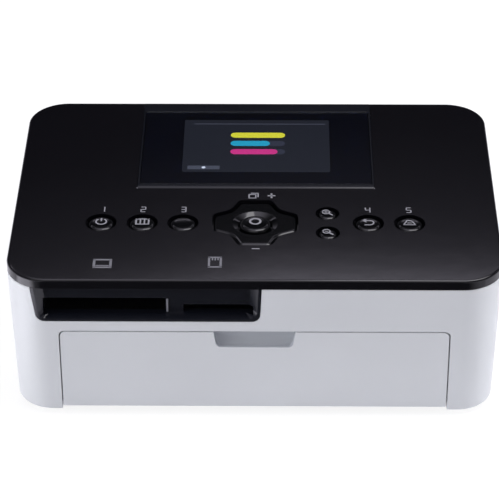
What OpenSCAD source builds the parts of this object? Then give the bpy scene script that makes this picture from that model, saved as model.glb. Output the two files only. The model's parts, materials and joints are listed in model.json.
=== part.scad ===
// Compact photo printer: white drafted body, glossy black top with a tilting screen,
// keys, card slots, two bottom-hinged doors, and the print works inside.
// Millimetres. X runs to the right, Y to the back, Z up. The origin is under the middle.

/* [Body] */
// Width over the top cover
body_w = 178; // [172:0.5:190]
// Depth over the top cover
body_d = 126; // [124:0.5:140]
// Height of the top face above the table
body_h = 60.5; // [60:0.5:66]
// Plan radius of the vertical corners
corner_r = 15; // [12:0.5:18]
// Wall of the white shell
shell_wall = 2.2; // [1.8:0.1:2.6]
// How far each side leans in from the top of the shell to its foot
draft = 1.7; // [0.5:0.1:2.5]
// Height of the rounded foot of the shell
foot_round = 1.2; // [0.8:0.1:1.6]
// Height that the rubber feet lift the body
foot_h = 2.2; // [2:0.1:3]
// Thickness of the base plate
base_t = 1.7; // [1.4:0.1:1.7]
// Radius of a rubber foot
foot_r = 6; // [4:0.5:8]

/* [Top cover] */
// Height of the black band round the top
band_h = 4; // [3.4:0.1:4.4]
// Thickness of the cover plate
plate_t = 2; // [1.8:0.1:2.2]
// Bevel round the top edge
top_bevel = 0.8; // [0.4:0.1:1.2]

/* [Screen lid] */
// Width of the tilting lid
lid_w = 88.4; // [84:0.2:92]
// Place of its rounded front edge
lid_front = -1; // [-1.4:0.1:0]
// Radius of that edge, which turns round the hinge line
lid_barrel_r = 2; // [1.8:0.1:2.2]
// Width of the lit screen
screen_w = 56.2; // [54:0.2:58]
// Depth of the lit screen
screen_d = 38.6; // [36:0.2:40]
// Front edge of the lit screen
screen_front = 11.4; // [11:0.1:13]
// Thickness of the window
glass_t = 1; // [0.8:0.1:1.1]
// Gap round the lid
lid_gap = 0.35; // [0.3:0.05:0.5]

/* [Keys] */
// Radius of a round key
key_r = 5.45; // [4.5:0.05:5.8]
// Radius of a zoom key
zoom_key_r = 4.1; // [3.5:0.05:4.3]
// Half width between the outer round keys
outer_key_x = 56.5; // [55.5:0.5:58]
// Half width between the inner round keys
inner_key_x = 41.4; // [41:0.2:42.4]
// Place of the third key on the left and of the zoom pair on the right
near_key_x = 26.5; // [26:0.1:27.4]
// Depth place of the row of keys
key_row_y = -25; // [-26:0.25:-24]
// Half of the step between the two zoom keys
zoom_step = 6.6; // [6.2:0.1:7]
// Radius of the centre key
centre_key_r = 6.25; // [5.8:0.05:6.4]
// Gap between a key and its hole
key_gap = 0.3; // [0.25:0.05:0.4]
// Travel of a key
key_travel = 0.4; // [0.3:0.05:0.4]
// size of the four-way pad in X and Y
pad_span = [31, 30.6]; // [28:0.1:32]
// half width of its side arms and of its near and far arms, at their tips
pad_tip = [5.4, 5.8]; // [4:0.1:7]
// where the flanks of two arms meet
pad_root = [8.6, 8.8]; // [7.5:0.1:10]

/* [Card slots] */
// Left and right edge of the bezel
bezel_x = [-80, 2.6]; // [-82:0.1:6]
// Lower edge of the bezel, below the top
bezel_h = 18; // [17:0.1:18.5]
// Left and right edge of the large slot
large_slot_x = [-75.6, -31.8]; // [-76:0.1:-30]
// Bottom and top of the large slot, below the top
large_slot_drop = [16.1, 9.9]; // [9:0.1:17]
// Left and right edge of the small slot
small_slot_x = [-25.4, -0.4]; // [-26:0.1:0]
// Bottom and top of the small slot, below the top
small_slot_drop = [15.8, 12.6]; // [9:0.1:17]
// Depth of the large socket
large_socket_d = 37; // [30:0.5:37]
// Depth of the small socket
small_socket_d = 27; // [22:0.5:32]

/* [Doors] */
// Half width of the front door
door_half = 70; // [66:0.5:70]
// Top edge of the front door
door_top = 37.8; // [36:0.1:38.5]
// Front and back edge of the side door
side_door_y = [-26, 44]; // [-30:0.5:46]
// Top edge of the side door
side_door_top = 49; // [47:0.1:50]
// Thickness of a door
door_t = 2.2; // [1.8:0.1:2.4]
// Seam round a door
door_gap = 0.4; // [0.3:0.05:0.6]
// Half width of the finger scoop
scoop_half = 15; // [10:0.5:18]
// Depth of the scoop below the top edge
scoop_h = 6.8; // [5:0.2:8]

/* [Works] */
// Height of the sheet of paper on its way
paper_z = 26.6; // [26.4:0.1:26.8]
// Half distance between the side frames
frame_half = 60.8; // [60:0.1:61.5]
// Thickness of a side frame
frame_t = 1.2; // [1:0.1:1.2]
// Radius of the platen roller
platen_r = 8; // [7.5:0.1:8]
// Depth place of the platen roller
platen_y = 9; // [8.6:0.1:9.4]
// Radius of the capstan roller
capstan_r = 4; // [3.8:0.1:4.2]
// Depth place of the capstan roller
capstan_y = 46; // [45.8:0.1:46.2]
// Radius of the pinch roller
pinch_r = 3.5; // [3.2:0.1:3.6]
// Radius of the pickup roller
pickup_r = 6.5; // [6:0.1:6.5]
// Radius of the small shafts
shaft_r = 2; // [1.8:0.1:2.2]
// Radius of the hinge pins
pin_r = 1; // [0.8:0.05:1]
// Running clearance of pins and shafts
run_gap = 0.05; // [0.03:0.01:0.08]
// Gear module
gear_m = 0.8; // [0.8:0.01:0.8]
// Width of a gear
gear_w = 3; // [2.5:0.1:3]
// Play between gear teeth
backlash = 0.16; // [0.1:0.01:0.2]

/* [Ribbon cartridge] */
// Outer radius of a spool tube
tube_r = 10; // [9.6:0.1:10.2]
// Wall of a spool tube
tube_wall = 1; // [0.8:0.1:1.2]
// Height of the spools
spool_z = 36.5; // [36.3:0.1:36.8]
// Depth places of the supply and the take-up spool
spool_y = [-8, 26]; // [-9:0.1:27]
// Radius of the wound ribbon on the two spools
roll_r = [7.6, 5.5]; // [4:0.1:8]

/* [Hidden] */
$fn = 32;
far = 200;
half_w = body_w / 2;
half_d = body_d / 2;
floor_z = foot_h;
base_top = floor_z + base_t;
band_z = body_h - band_h;
plate_z = body_h - plate_t;
white = [0.86, 0.87, 0.9];
black = [0.07, 0.07, 0.09];
steel = [0.7, 0.71, 0.73];
board = [0.1, 0.35, 0.2];
pale = [0.8, 0.8, 0.78];
dark = [0.16, 0.16, 0.18];

// the lid
hinge_y = lid_front + lid_barrel_r;
hinge_z = body_h - lid_barrel_r;
lid_half = lid_w / 2;
lid_rear = half_d - 0.2;
lid_bottom = body_h - 6.1;
lid_edge_z = band_z + 0.4;
lid_edge_bevel = 0.4;
pan_t = 1.4;
pan_z = lid_bottom - 0.8 - pan_t;
pan_top = pan_z + pan_t;
pan_wall = 1.65;
glass_rim = 0.8;
glass_front = hinge_y + pin_r + 0.5;
glass_rear = half_d - 6.6;
lid_wall = 1.6;
lid_plate_z = body_h - glass_t - 1.2;

// the keys
key_top = body_h - 0.05;
pocket_depth = 0.5;
pocket_rim = 0.55;
flange_w = 0.9;
flange_top = plate_z - 0.2;
switch_h = 1.1;
key_bottom = flange_top - 0.8;
switch_top = key_bottom - key_travel - 0.1;
control_top = switch_top - switch_h;
board_t = 1;
board_edge = 4;
board_hole_r = 1.1;
board_post_r = 2.2;
board_mid_x = (inner_key_x + near_key_x) / 2;
board_post_x = [-outer_key_x - 5.5, -board_mid_x, board_mid_x, outer_key_x + 5.5];
board_post_y = [key_row_y - 15, key_row_y + 14];
switch_w = 4;
switch_stem_r = 1.2;
pad_switch_r = 11.6;
socket_wall = 0.8;
bezel_z = body_h - bezel_h;
large_slot_z = [for (d = large_slot_drop) body_h - d];
small_slot_z = [for (d = small_slot_drop) body_h - d];
reader_top = large_slot_z[0] - socket_wall;
reader_t = 1.2;
reader_edge = [3, 2];
pad_round = [2.4, 6];
KEYS = [[-outer_key_x, key_row_y], [-inner_key_x, key_row_y], [-near_key_x, key_row_y],
    [inner_key_x, key_row_y], [outer_key_x, key_row_y]];
ZOOMS = [[near_key_x, key_row_y + zoom_step], [near_key_x, key_row_y - zoom_step]];
pad_at = [0, key_row_y + 0.4];

// the doors: the hinge line of each lies inside its own wall
door_axis_z = floor_z + 3.4;
door_axis_in = 2.5;
door_bottom = floor_z + 1.2;
knuckle_r = 1.9;
front_axis_y = -(half_d - draft_at(door_axis_z)) + door_axis_in;
lug_w = 4.6;
base_front = front_axis_y + 2.6;
pin_in = 6.6;

// the works
bay_front = front_axis_y + 2.8;
bay_t = 1.4;
frame_step_y = -17;
frame_low = 41;
frame_high = 51;
bay_window = [frame_half - 3.3, frame_low - 3.5];
platen_at = [platen_y, paper_z - platen_r];
capstan_at = [capstan_y, paper_z - capstan_r];
pinch_at = [capstan_y, paper_z + 0.2 + pinch_r];
pickup_at = [-26.5, paper_z + 4.4];
head_axis = [42, 48.6];
supply_at = [spool_y[0], spool_z];
take_up_at = [spool_y[1], spool_z];
ribbon_motor_at = [49, spool_z + 3];
gear_x = -frame_half - frame_t - 1;
gear2_x = gear_x - gear_w - 1;
T_PINION = 10;
T_PLATEN = 30;
T_TRANSFER = 25;
T_CAPSTAN = 15;
T_IDLER = 22;
T_PICKUP = 16;
T_RIBBON = 15;
T_TAKE_UP = 20;
function pitch(n) = n * gear_m / 2;
function draft_at(z) = draft * (band_z - z) / (band_z - floor_z);
function aim(a, b) = atan2(b[1] - a[1], b[0] - a[0]);
// centre of a gear that meshes with both a and b, on the side s of the line from a to b
function between(a, ra, b, rb, s) =
    let (d = norm(b - a), u = (b - a) / d, along = (d * d + ra * ra - rb * rb) / (2 * d),
        up = sqrt(max(0, ra * ra - along * along)))
    a + along * u + s * up * [-u[1], u[0]];
// angle of a driven gear that puts a gap where the driver, turned by phase, has a tooth
function mesh(a, na, phase, b, nb) =
    let (dir = aim(a, b), part = (dir - phase) * na / 360)
    dir + 180 - (0.5 - part) * 360 / nb;
feed_motor_at = platen_at
    + (pitch(T_PINION) + pitch(T_PLATEN)) * [cos(197.2), sin(197.2)];
transfer_at = between(platen_at, pitch(T_PLATEN) + pitch(T_TRANSFER), capstan_at,
    pitch(T_TRANSFER) + pitch(T_CAPSTAN), -1);
idler_at = between(feed_motor_at, pitch(T_PINION) + pitch(T_IDLER), pickup_at,
    pitch(T_IDLER) + pitch(T_PICKUP), 1);
ribbon_idler_at = between(take_up_at, pitch(T_TAKE_UP) + pitch(T_RIBBON), ribbon_motor_at,
    pitch(T_RIBBON) + pitch(T_PINION), -1);
motor_phase = mesh(platen_at, T_PLATEN, 0, feed_motor_at, T_PINION);
transfer_phase = mesh(platen_at, T_PLATEN, 0, transfer_at, T_TRANSFER);
capstan_phase = mesh(transfer_at, T_TRANSFER, transfer_phase, capstan_at, T_CAPSTAN);
idler_phase = mesh(feed_motor_at, T_PINION, motor_phase, idler_at, T_IDLER);
pickup_phase = mesh(idler_at, T_IDLER, idler_phase, pickup_at, T_PICKUP);
ribbon_idler_phase = mesh(take_up_at, T_TAKE_UP, 0, ribbon_idler_at, T_RIBBON);
ribbon_phase = mesh(ribbon_idler_at, T_RIBBON, ribbon_idler_phase, ribbon_motor_at, T_PINION);

// ---- helpers ----
// a profile drawn in Y and Z, from x0 to x1
module along_x(x0, x1) {
    translate([x0, 0, 0]) rotate([90, 0, 90]) linear_extrude(height = x1 - x0) children();
}
// a profile drawn in X and Z, from y0 to y1
module along_y(y0, y1) {
    translate([0, y1, 0]) rotate([90, 0, 0]) linear_extrude(height = y1 - y0) children();
}
module rod(r, x0, x1, at) {
    translate([x0, at[0], at[1]]) rotate([0, 90, 0]) cylinder(r = r, h = x1 - x0);
}
module rod_y(r, y0, y1, at) {
    translate([at[0], y0, at[1]]) rotate([-90, 0, 0]) cylinder(r = r, h = y1 - y0);
}
module block(low, high) {
    translate(low) cube(high - low);
}
module both_sides() {
    children();
    mirror([1, 0, 0]) children();
}
module corners(x, y) {
    for (sx = [-1, 1], sy = [-1, 1]) translate([sx * x, sy * y, 0]) children();
}
// plan rectangle with round corners
module round_rect(w, d, r) {
    square([w - 2 * r, d], center = true);
    square([w, d - 2 * r], center = true);
    for (sx = [-1, 1], sy = [-1, 1]) translate([sx * (w / 2 - r), sy * (d / 2 - r)]) circle(r = r);
}
// points of an arc about c
function arc(c, r, a0, a1, n = 5) =
    [for (i = [0 : n]) c + r * [cos(a0 + (a1 - a0) * i / n), sin(a0 + (a1 - a0) * i / n)]];
// a form with the body's plan: each level is [z, inset], and each pair of levels is coned
module plan_form(levels) {
    hull()
        for (i = [0 : len(levels) - 2])
            corners(half_w - corner_r, half_d - corner_r)
                translate([0, 0, levels[i][0]])
                    cylinder(h = levels[i + 1][0] - levels[i][0], r1 = corner_r - levels[i][1],
                        r2 = corner_r - levels[i + 1][1]);
}
module housing() {
    foot = [for (a = [0 : 30 : 90]) let (z = floor_z + foot_round * (1 - cos(a)))
        [z, draft_at(z) + foot_round * (1 - sin(a))]];
    plan_form(concat(foot, [[band_z, 0]]));
}
module housing_core() {
    plan_form([[floor_z - 1, draft_at(floor_z - 1) + shell_wall],
        [band_z + 1, draft_at(band_z + 1) + shell_wall]]);
}
// a mounting boss with a pilot hole
module boss(r, z0, z1, hole_r) {
    difference() {
        translate([0, 0, z0]) cylinder(r = r, h = z1 - z0);
        translate([0, 0, z0 - 1]) cylinder(r = hole_r, h = z1 - z0);
    }
}

// ---- case ----
screw_in = 9.4;
screw_r = 1.4;
screw_head_r = 2.6;
screw_post_r = 4.2;
screw_at = [half_w - screw_in, half_d - screw_in];
feet_at = [half_w - 24, half_d - 18];
screw_post_top = 11;
// width, front end and rear end of the cooling slots below
base_vent = [2.4, 16, 40];
module base_plate() {
    inner = [body_w - 2 * (draft + shell_wall) - 0.2, body_d - 2 * (draft + shell_wall) - 0.2];
    color(pale) difference() {
        translate([0, 0, floor_z]) linear_extrude(height = base_t)
            round_rect(inner[0], inner[1], corner_r - draft - shell_wall - 0.1);
        // room for the lower edges of the two doors
        block([-door_half - door_gap, -half_d, floor_z - 1],
            [door_half + door_gap, base_front, base_top + 1]);
        to_side() block([side_door_y[0] - door_gap, -half_d, floor_z - 1],
            [side_door_y[1] + door_gap, base_front, base_top + 1]);
        corners(feet_at[0], feet_at[1])
            translate([0, 0, floor_z - 1]) cylinder(r = foot_r + 0.1, h = 1.8);
        corners(screw_at[0], screw_at[1]) {
            translate([0, 0, floor_z - 1]) cylinder(r = screw_r + 0.2, h = 5);
            translate([0, 0, floor_z - 1]) cylinder(r = screw_head_r + 0.2, h = 1.9);
        }
        // cooling slots
        for (i = [-4 : 4])
            block([i * 6 - base_vent[0] / 2, base_vent[1], floor_z - 1],
                [i * 6 + base_vent[0] / 2, base_vent[2], base_top + 1]);
    }
}
module rubber_feet() {
    color(dark) corners(feet_at[0], feet_at[1]) cylinder(r = foot_r, h = floor_z + 0.8);
}
module case_screws() {
    color(steel) corners(screw_at[0], screw_at[1]) difference() {
        union() {
            translate([0, 0, floor_z]) cylinder(r = screw_head_r, h = 0.9);
            translate([0, 0, floor_z + 0.8]) cylinder(r = screw_r, h = 6.6);
        }
        translate([0, 0, floor_z - 1]) cylinder(r = 1.2, h = 1.5, $fn = 6);
    }
}
// outline of a door opening in X and Z, seen from its front
module door_outline(x0, x1, top, grow) {
    r = 2.2;
    polygon(concat([[x0 - grow, -1], [x1 + grow, -1]],
        arc([x1 + grow - r, top + grow - r], r, 0, 90),
        arc([x0 - grow + r, top + grow - r], r, 90, 180)));
}
// a block with a bore that carries a door pin, inside the wall of the opening
module pin_lug(x, side) {
    difference() {
        block([side > 0 ? x : x - lug_w, front_axis_y - 1.4, base_top],
            [side > 0 ? x + lug_w : x, front_axis_y + 2.6, door_axis_z + 3]);
        rod(pin_r, x - 20, x + 20, [front_axis_y, door_axis_z]);
    }
}
// turns what is drawn for the front wall to the right wall
module to_side() {
    translate([half_w - half_d, 0, 0]) rotate([0, 0, 90]) children();
}
bezel_cut = 0.15;
module bezel_outline(grow) {
    low = [bezel_x[0] + 1.1, bezel_x[1] - 0.6];
    r = 3;
    polygon(concat([[bezel_x[1] + grow, band_z + 1]],
        [[bezel_x[0] - grow, band_z + 1]],
        arc([low[0] - grow + r + 0.6, bezel_z - grow + r], r, 190, 270),
        arc([low[1] + grow - r, bezel_z - grow + r], r, 270, 358)));
}
slot_rear_z = [paper_z - 3.4, paper_z + 3];
slot_rear_half = frame_half - 5.8;
dc_at = [screw_at[0] - 10.4, 10.5];
usb_at = [-frame_half - 10.3, 14.5];
usb_size = [7.6, 4.4];
dc_hole_r = 5.2;
vent_w = 2;
vent_pitch = 4.5;
vent_z = [38, 48];
module body_shell() {
    color(white) difference() {
        union() {
            difference() {
                housing();
                housing_core();
            }
            // posts for the case screws, in the corners
            intersection() {
                corners(screw_at[0], screw_at[1])
                    boss(screw_post_r, base_top + 0.1, screw_post_top, screw_r);
                housing();
            }
            // lugs for the pins of the two doors
            pin_lug(door_half + door_gap, 1);
            pin_lug(-door_half - door_gap, -1);
            to_side() {
                pin_lug(side_door_y[1] + door_gap, 1);
                pin_lug(side_door_y[0] - door_gap, -1);
            }
        }
        along_y(-far, -half_d + 5) door_outline(-door_half, door_half, door_top, door_gap);
        to_side() along_y(-far, -half_d + 5)
            door_outline(side_door_y[0], side_door_y[1], side_door_top, door_gap);
        along_y(-far, -half_d + 5) bezel_outline(bezel_cut);
        // bores of the door pins, which run into the wall behind the lugs
        both_sides() rod(pin_r, door_half - 1, door_half + door_gap + lug_w,
            [front_axis_y, door_axis_z]);
        to_side() {
            rod(pin_r, side_door_y[1] - 1, side_door_y[1] + door_gap + lug_w,
                [front_axis_y, door_axis_z]);
            rod(pin_r, side_door_y[0] - door_gap - lug_w, side_door_y[0] + 1,
                [front_axis_y, door_axis_z]);
        }
        // rear: the paper slot, the sockets and the cooling slots
        along_y(half_d - 6, far)
            translate([0, (slot_rear_z[0] + slot_rear_z[1]) / 2])
                round_rect(2 * slot_rear_half, slot_rear_z[1] - slot_rear_z[0], 1);
        rod_y(dc_hole_r, half_d - 6, far, dc_at);
        along_y(half_d - 6, far) translate(usb_at) square(usb_size + [0.6, 0.5], center = true);
        for (i = [0 : 9]) translate([18 + i * vent_pitch, 0, 0])
            block([0, half_d - 6, vent_z[0]], [vent_w, far, vent_z[1]]);
        for (i = [0 : 7]) translate([0, 8 + i * vent_pitch, 0])
            block([-far, 0, vent_z[0]], [-half_w + 6, vent_w, vent_z[1]]);
    }
}
// corners of the four-way pad, anticlockwise: tip, root, tip in each quarter
pad_quarter = [[pad_span[0] / 2, pad_tip[0]], pad_root, [pad_tip[1], pad_span[1] / 2]];
PAD = [for (q = [0 : 3], i = [0 : 2])
    let (p = pad_quarter[q % 2 == 0 ? i : 2 - i])
    [(q == 1 || q == 2 ? -1 : 1) * p[0], (q > 1 ? -1 : 1) * p[1]]];
// a corner b between a and c moved outwards by g
function moved(a, b, c, g) =
    let (d1 = (b - a) / norm(b - a), d2 = (c - b) / norm(c - b),
        n1 = [d1[1], -d1[0]], n2 = [d2[1], -d2[0]])
    b + (n1 + n2) * g / (1 + n1 * n2);
// points that round the corner b between a and c
function fillet(a, b, c, r, n = 4) =
    let (u = (a - b) / norm(a - b), v = (c - b) / norm(c - b), half = acos(u * v) / 2,
        mid = b + (u + v) / norm(u + v) * r / sin(half),
        p = b + u * r / tan(half) - mid, q = b + v * r / tan(half) - mid,
        start = atan2(p[1], p[0]), turn = atan2(cross(p, q), p * q))
    [for (i = [0 : n]) mid + r * [cos(start + turn * i / n), sin(start + turn * i / n)]];
// plan outline of the four-way pad
module pad_outline(grow) {
    n = len(PAD);
    out = [for (i = [0 : n - 1]) moved(PAD[(i + n - 1) % n], PAD[i], PAD[(i + 1) % n], grow)];
    translate(pad_at) polygon([for (i = [0 : n - 1])
        each fillet(out[(i + n - 1) % n], out[i], out[(i + 1) % n],
            i % 3 == 1 ? pad_round[1] - grow : pad_round[0] + grow)]);
}
module top_cover() {
    color(black) difference() {
        union() {
            difference() {
                plan_form([[band_z, 0], [body_h - top_bevel, 0],
                    [body_h - top_bevel * 0.3, top_bevel * 0.3], [body_h, top_bevel]]);
                translate([0, 0, band_z - 1]) linear_extrude(height = plate_z - band_z + 1)
                    round_rect(body_w - 2 * shell_wall, body_d - 2 * shell_wall,
                        corner_r - shell_wall);
            }
            // pan under the lid
            block([-lid_half - lid_gap - pan_wall, lid_front - lid_gap - pan_wall, pan_z],
                [lid_half + lid_gap + pan_wall, half_d - shell_wall - 0.3, plate_z + 0.5]);
            // posts that carry the control board
            for (x = board_post_x, y = board_post_y)
                translate([x, y, 0]) boss(board_post_r, control_top, plate_z + 0.5, 0.9);
        }
        // well of the lid, open to the back
        block([-lid_half - lid_gap, lid_front - lid_gap, pan_top],
            [lid_half + lid_gap, half_d - 3.2, body_h + 1]);
        block([-lid_half - lid_gap, half_d - 4, band_z - 1],
            [lid_half + lid_gap, half_d + 1, body_h + 1]);
        both_sides() rod(pin_r, lid_half - 1, lid_half + pan_wall + 1, [hinge_y, hinge_z]);
        for (k = KEYS) translate([k[0], k[1], 0]) key_hole(key_r);
        for (k = ZOOMS) translate([k[0], k[1], 0]) key_hole(zoom_key_r);
        translate([0, 0, plate_z - 1]) linear_extrude(height = 4) pad_outline(key_gap);
        translate([0, 0, body_h - pocket_depth * 0.6]) linear_extrude(height = 1)
            pad_outline(key_gap + 0.5);
    }
}
module key_hole(r) {
    translate([0, 0, plate_z - 3]) cylinder(r = r + key_gap, h = 6);
    translate([0, 0, body_h - pocket_depth])
        cylinder(r1 = r + key_gap, r2 = r + key_gap + pocket_rim, h = pocket_depth + 0.01);
}

// ---- screen lid ----
module lid_profile() {
    translate([hinge_y, hinge_z]) circle(r = lid_barrel_r);
    polygon([[hinge_y, body_h], [hinge_y, lid_bottom], [lid_rear - 3.4, lid_bottom],
        [lid_rear - 3.4, lid_edge_z], [lid_rear, lid_edge_z], [lid_rear, body_h - lid_edge_bevel],
        [lid_rear - lid_edge_bevel, body_h]]);
}
back_half = lid_half - lid_wall - 0.1;
back_y = [hinge_y + lid_barrel_r + 0.3, lid_rear - 5];
module screen_frame() {
    color(black) difference() {
        along_x(-lid_half, lid_half) lid_profile();
        block([-back_half - 0.1, back_y[0] - 0.1, lid_bottom - 1],
            [back_half + 0.1, back_y[1] + 0.1, lid_plate_z]);
        block([-lid_half + glass_rim - 0.05, glass_front - 0.05, body_h - glass_t],
            [lid_half - glass_rim + 0.05, glass_rear + 0.05, body_h + 1]);
        block([-screen_w / 2 - 1, screen_front - 1, lid_plate_z - 1],
            [screen_w / 2 + 1, screen_front + screen_d + 1, body_h + 1]);
        both_sides() rod(pin_r + run_gap, lid_half - pin_in - 0.5, lid_half + 1,
            [hinge_y, hinge_z]);
    }
}
module screen_back() {
    color(black) union() {
        block([-back_half, back_y[0], lid_bottom], [back_half, back_y[1], lid_bottom + 1.2]);
        difference() {
            block([-back_half, back_y[0], lid_bottom + 1], [back_half, back_y[1], lid_plate_z - 0.1]);
            block([-back_half + 1.2, back_y[0] + 1.2, lid_bottom],
                [back_half - 1.2, back_y[1] - 1.2, lid_plate_z + 1]);
        }
    }
}
module screen_glass() {
    color([0.1, 0.12, 0.16, 0.6]) block([-lid_half + glass_rim, glass_front, body_h - glass_t],
        [lid_half - glass_rim, glass_rear, body_h]);
}
module lcd_panel() {
    color([0.2, 0.22, 0.26]) union() {
        block([-screen_w / 2 - 0.8, screen_front - 0.8, lid_bottom + 3.4],
            [screen_w / 2 + 0.8, screen_front + screen_d + 0.8, body_h - glass_t - 0.1]);
        block([-screen_w / 2 - 4, screen_front - 3, lid_bottom + 1.2],
            [screen_w / 2 + 4, screen_front + screen_d + 3, lid_bottom + 3.5]);
    }
}
module hinge_pins() {
    color(steel) {
        both_sides() rod(pin_r, lid_half - pin_in, lid_half + pan_wall, [hinge_y, hinge_z]);
        both_sides() rod(pin_r, door_half - pin_in, door_half + door_gap + lug_w,
            [front_axis_y, door_axis_z]);
        to_side() {
            rod(pin_r, side_door_y[1] - pin_in, side_door_y[1] + door_gap + lug_w,
                [front_axis_y, door_axis_z]);
            rod(pin_r, side_door_y[0] - door_gap - lug_w, side_door_y[0] + pin_in,
                [front_axis_y, door_axis_z]);
        }
    }
}

// ---- doors ----
// a door drawn in the front wall, from x0 to x1, flush with the drafted wall
module door_leaf(x0, x1, top) {
    out0 = -half_d + draft_at(door_bottom);
    out1 = -half_d + draft_at(top);
    difference() {
        union() {
            intersection() {
                along_x(x0, x1) polygon([[out0 + door_t, door_bottom], [out0 + 0.8, door_bottom],
                    [out0, door_bottom + 0.8], [out1, top], [out1 + door_t, top]]);
                along_y(-far, 0) door_outline(x0, x1, top, 0);
            }
            // ribs behind the leaf
            for (x = [x0 + 4, x1 - 5.2])
                block([x, out0 + door_t - 0.3, door_axis_z + 3], [x + 1.2, out0 + door_t + 1.3, top - 3]);
            // hinge knuckles
            for (x = [x0, x1 - pin_in - 0.4]) {
                rod(knuckle_r, x, x + pin_in + 0.4, [front_axis_y, door_axis_z]);
                block([x, out0 + 1, door_axis_z - knuckle_r + 0.4],
                    [x + pin_in + 0.4, front_axis_y, door_axis_z + knuckle_r - 0.2]);
            }
        }
        rod(pin_r + run_gap, x0 - 1, x0 + pin_in + 0.2, [front_axis_y, door_axis_z]);
        rod(pin_r + run_gap, x1 - pin_in - 0.2, x1 + 1, [front_axis_y, door_axis_z]);
    }
}
scoop_low = door_top - scoop_h;
module scoop_outline(grow) {
    r = 2;
    polygon(concat([[scoop_half + grow, door_top + 1], [-scoop_half - grow, door_top + 1]],
        arc([-scoop_half + 1 - grow + r, scoop_low - grow + r], r, 190, 270),
        arc([scoop_half - 1 + grow - r, scoop_low - grow + r], r, 270, 350)));
}
module front_door() {
    face = -half_d + draft_at(door_top);
    color(white) difference() {
        union() {
            door_leaf(-door_half, door_half, door_top);
            // the thick wall behind the finger scoop
            intersection() {
                along_y(face + 0.5, front_axis_y + 1.3) scoop_outline(1.6);
                block([-far, -far, 0], [far, far, door_top]);
            }
        }
        // the scoop, a round hollow open at the top
        intersection() {
            along_y(-far, front_axis_y + 0.2) scoop_outline(0);
            rod(9, -far, far, [face - 4.6, scoop_low + 6.4]);
        }
    }
}
module side_door() {
    color(white) to_side() difference() {
        door_leaf(side_door_y[0], side_door_y[1], side_door_top);
        // finger hollow at the top edge
        mid = (side_door_y[0] + side_door_y[1]) / 2;
        rod(5, mid - 9, mid + 9, [-half_d - 3.6, side_door_top - 1.6]);
    }
}

// ---- keys ----
// a round key: rounded rim, slightly domed top, and a flange under the cover
module round_key(r, at, flange_t) {
    rim = 0.7;
    color(dark) translate([at[0], at[1], 0]) rotate_extrude() polygon(concat([[0, key_bottom],
        [r + flange_w, key_bottom], [r + flange_w, key_bottom + flange_t],
        [r, key_bottom + flange_t]],
        arc([r - rim, key_top - 0.25 - rim], rim, 0, 75, 4), [[0, key_top]]));
}
module power_key() { round_key(key_r, KEYS[0], flange_top - key_bottom); }
module menu_key() { round_key(key_r, KEYS[1], flange_top - key_bottom); }
module edit_key() { round_key(key_r, KEYS[2], flange_top - key_bottom); }
module back_key() { round_key(key_r, KEYS[3], flange_top - key_bottom); }
module print_key() { round_key(key_r, KEYS[4], flange_top - key_bottom); }
module zoom_in_key() { round_key(zoom_key_r, ZOOMS[0], flange_top - key_bottom); }
module zoom_out_key() { round_key(zoom_key_r, ZOOMS[1], flange_top - key_bottom); }
module centre_key() { round_key(centre_key_r, pad_at, 0.35); }
module navigation_pad() {
    hole_r = centre_key_r + key_gap;
    color(dark) difference() {
        union() {
            translate([0, 0, key_bottom]) linear_extrude(height = flange_top - key_bottom)
                pad_outline(flange_w);
            translate([0, 0, key_bottom]) linear_extrude(height = key_top - 0.5 - key_bottom)
                pad_outline(0);
            translate([0, 0, key_bottom]) linear_extrude(height = key_top - 0.1 - key_bottom)
                pad_outline(-0.5);
        }
        translate([pad_at[0], pad_at[1], 0]) {
            translate([0, 0, key_bottom - 1]) cylinder(r = hole_r, h = 6);
            translate([0, 0, key_bottom - 1])
                cylinder(r = centre_key_r + flange_w + 0.3, h = 1.9);
            translate([0, 0, key_top - 0.8])
                cylinder(r1 = hole_r, r2 = hole_r + 1.7, h = 0.81);
        }
    }
}
module control_board() {
    color(board) difference() {
        block([-board_post_x[3] - board_edge, board_post_y[0] - board_edge, control_top - board_t],
            [board_post_x[3] + board_edge, board_post_y[1] + board_edge, control_top]);
        for (x = board_post_x, y = board_post_y)
            translate([x, y, control_top - 2 * board_t]) cylinder(r = board_hole_r, h = 3 * board_t);
    }
}
module key_switches() {
    pad = [for (a = [0 : 90 : 270]) pad_at + pad_switch_r * [cos(a), sin(a)]];
    color(steel) for (k = concat(KEYS, ZOOMS, [pad_at], pad)) translate([k[0], k[1], control_top]) {
        translate([-switch_w / 2, -switch_w / 2, 0]) cube([switch_w, switch_w, switch_h - 0.4]);
        cylinder(r = switch_stem_r, h = switch_h);
    }
}

// ---- card slots ----
bezel_back = -half_d + 5.5;
module slot_cut(x, z, y0, y1) {
    block([x[0], y0, z[0]], [x[1], y1, z[1]]);
}
module card_bezel() {
    front = -half_d + draft_at(bezel_z);
    cove = 1;
    color(black) difference() {
        intersection() {
            along_y(-half_d - 1, bezel_back) bezel_outline(0);
            housing();
            block([-far, -far, 0], [far, far, band_z]);
        }
        // tapered cove
        hull() {
            along_y(-half_d - 2, -half_d - 1.9) offset(delta = -cove) bezel_outline(0);
            along_y(front + 3, front + 3.1) offset(delta = -cove - 1.6) bezel_outline(0);
        }
        slot_cut(large_slot_x, large_slot_z, -far, 0);
        slot_cut(small_slot_x, small_slot_z, -far, 0);
    }
}
module card_socket(x, z, depth) {
    color(steel) difference() {
        block([x[0] - socket_wall, bezel_back, reader_top],
            [x[1] + socket_wall, bezel_back + depth, z[1] + socket_wall]);
        slot_cut(x, z, -far, bezel_back + depth - 1.4);
    }
}
module large_card_socket() { card_socket(large_slot_x, large_slot_z, large_socket_d); }
module small_card_socket() { card_socket(small_slot_x, small_slot_z, small_socket_d); }
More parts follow.
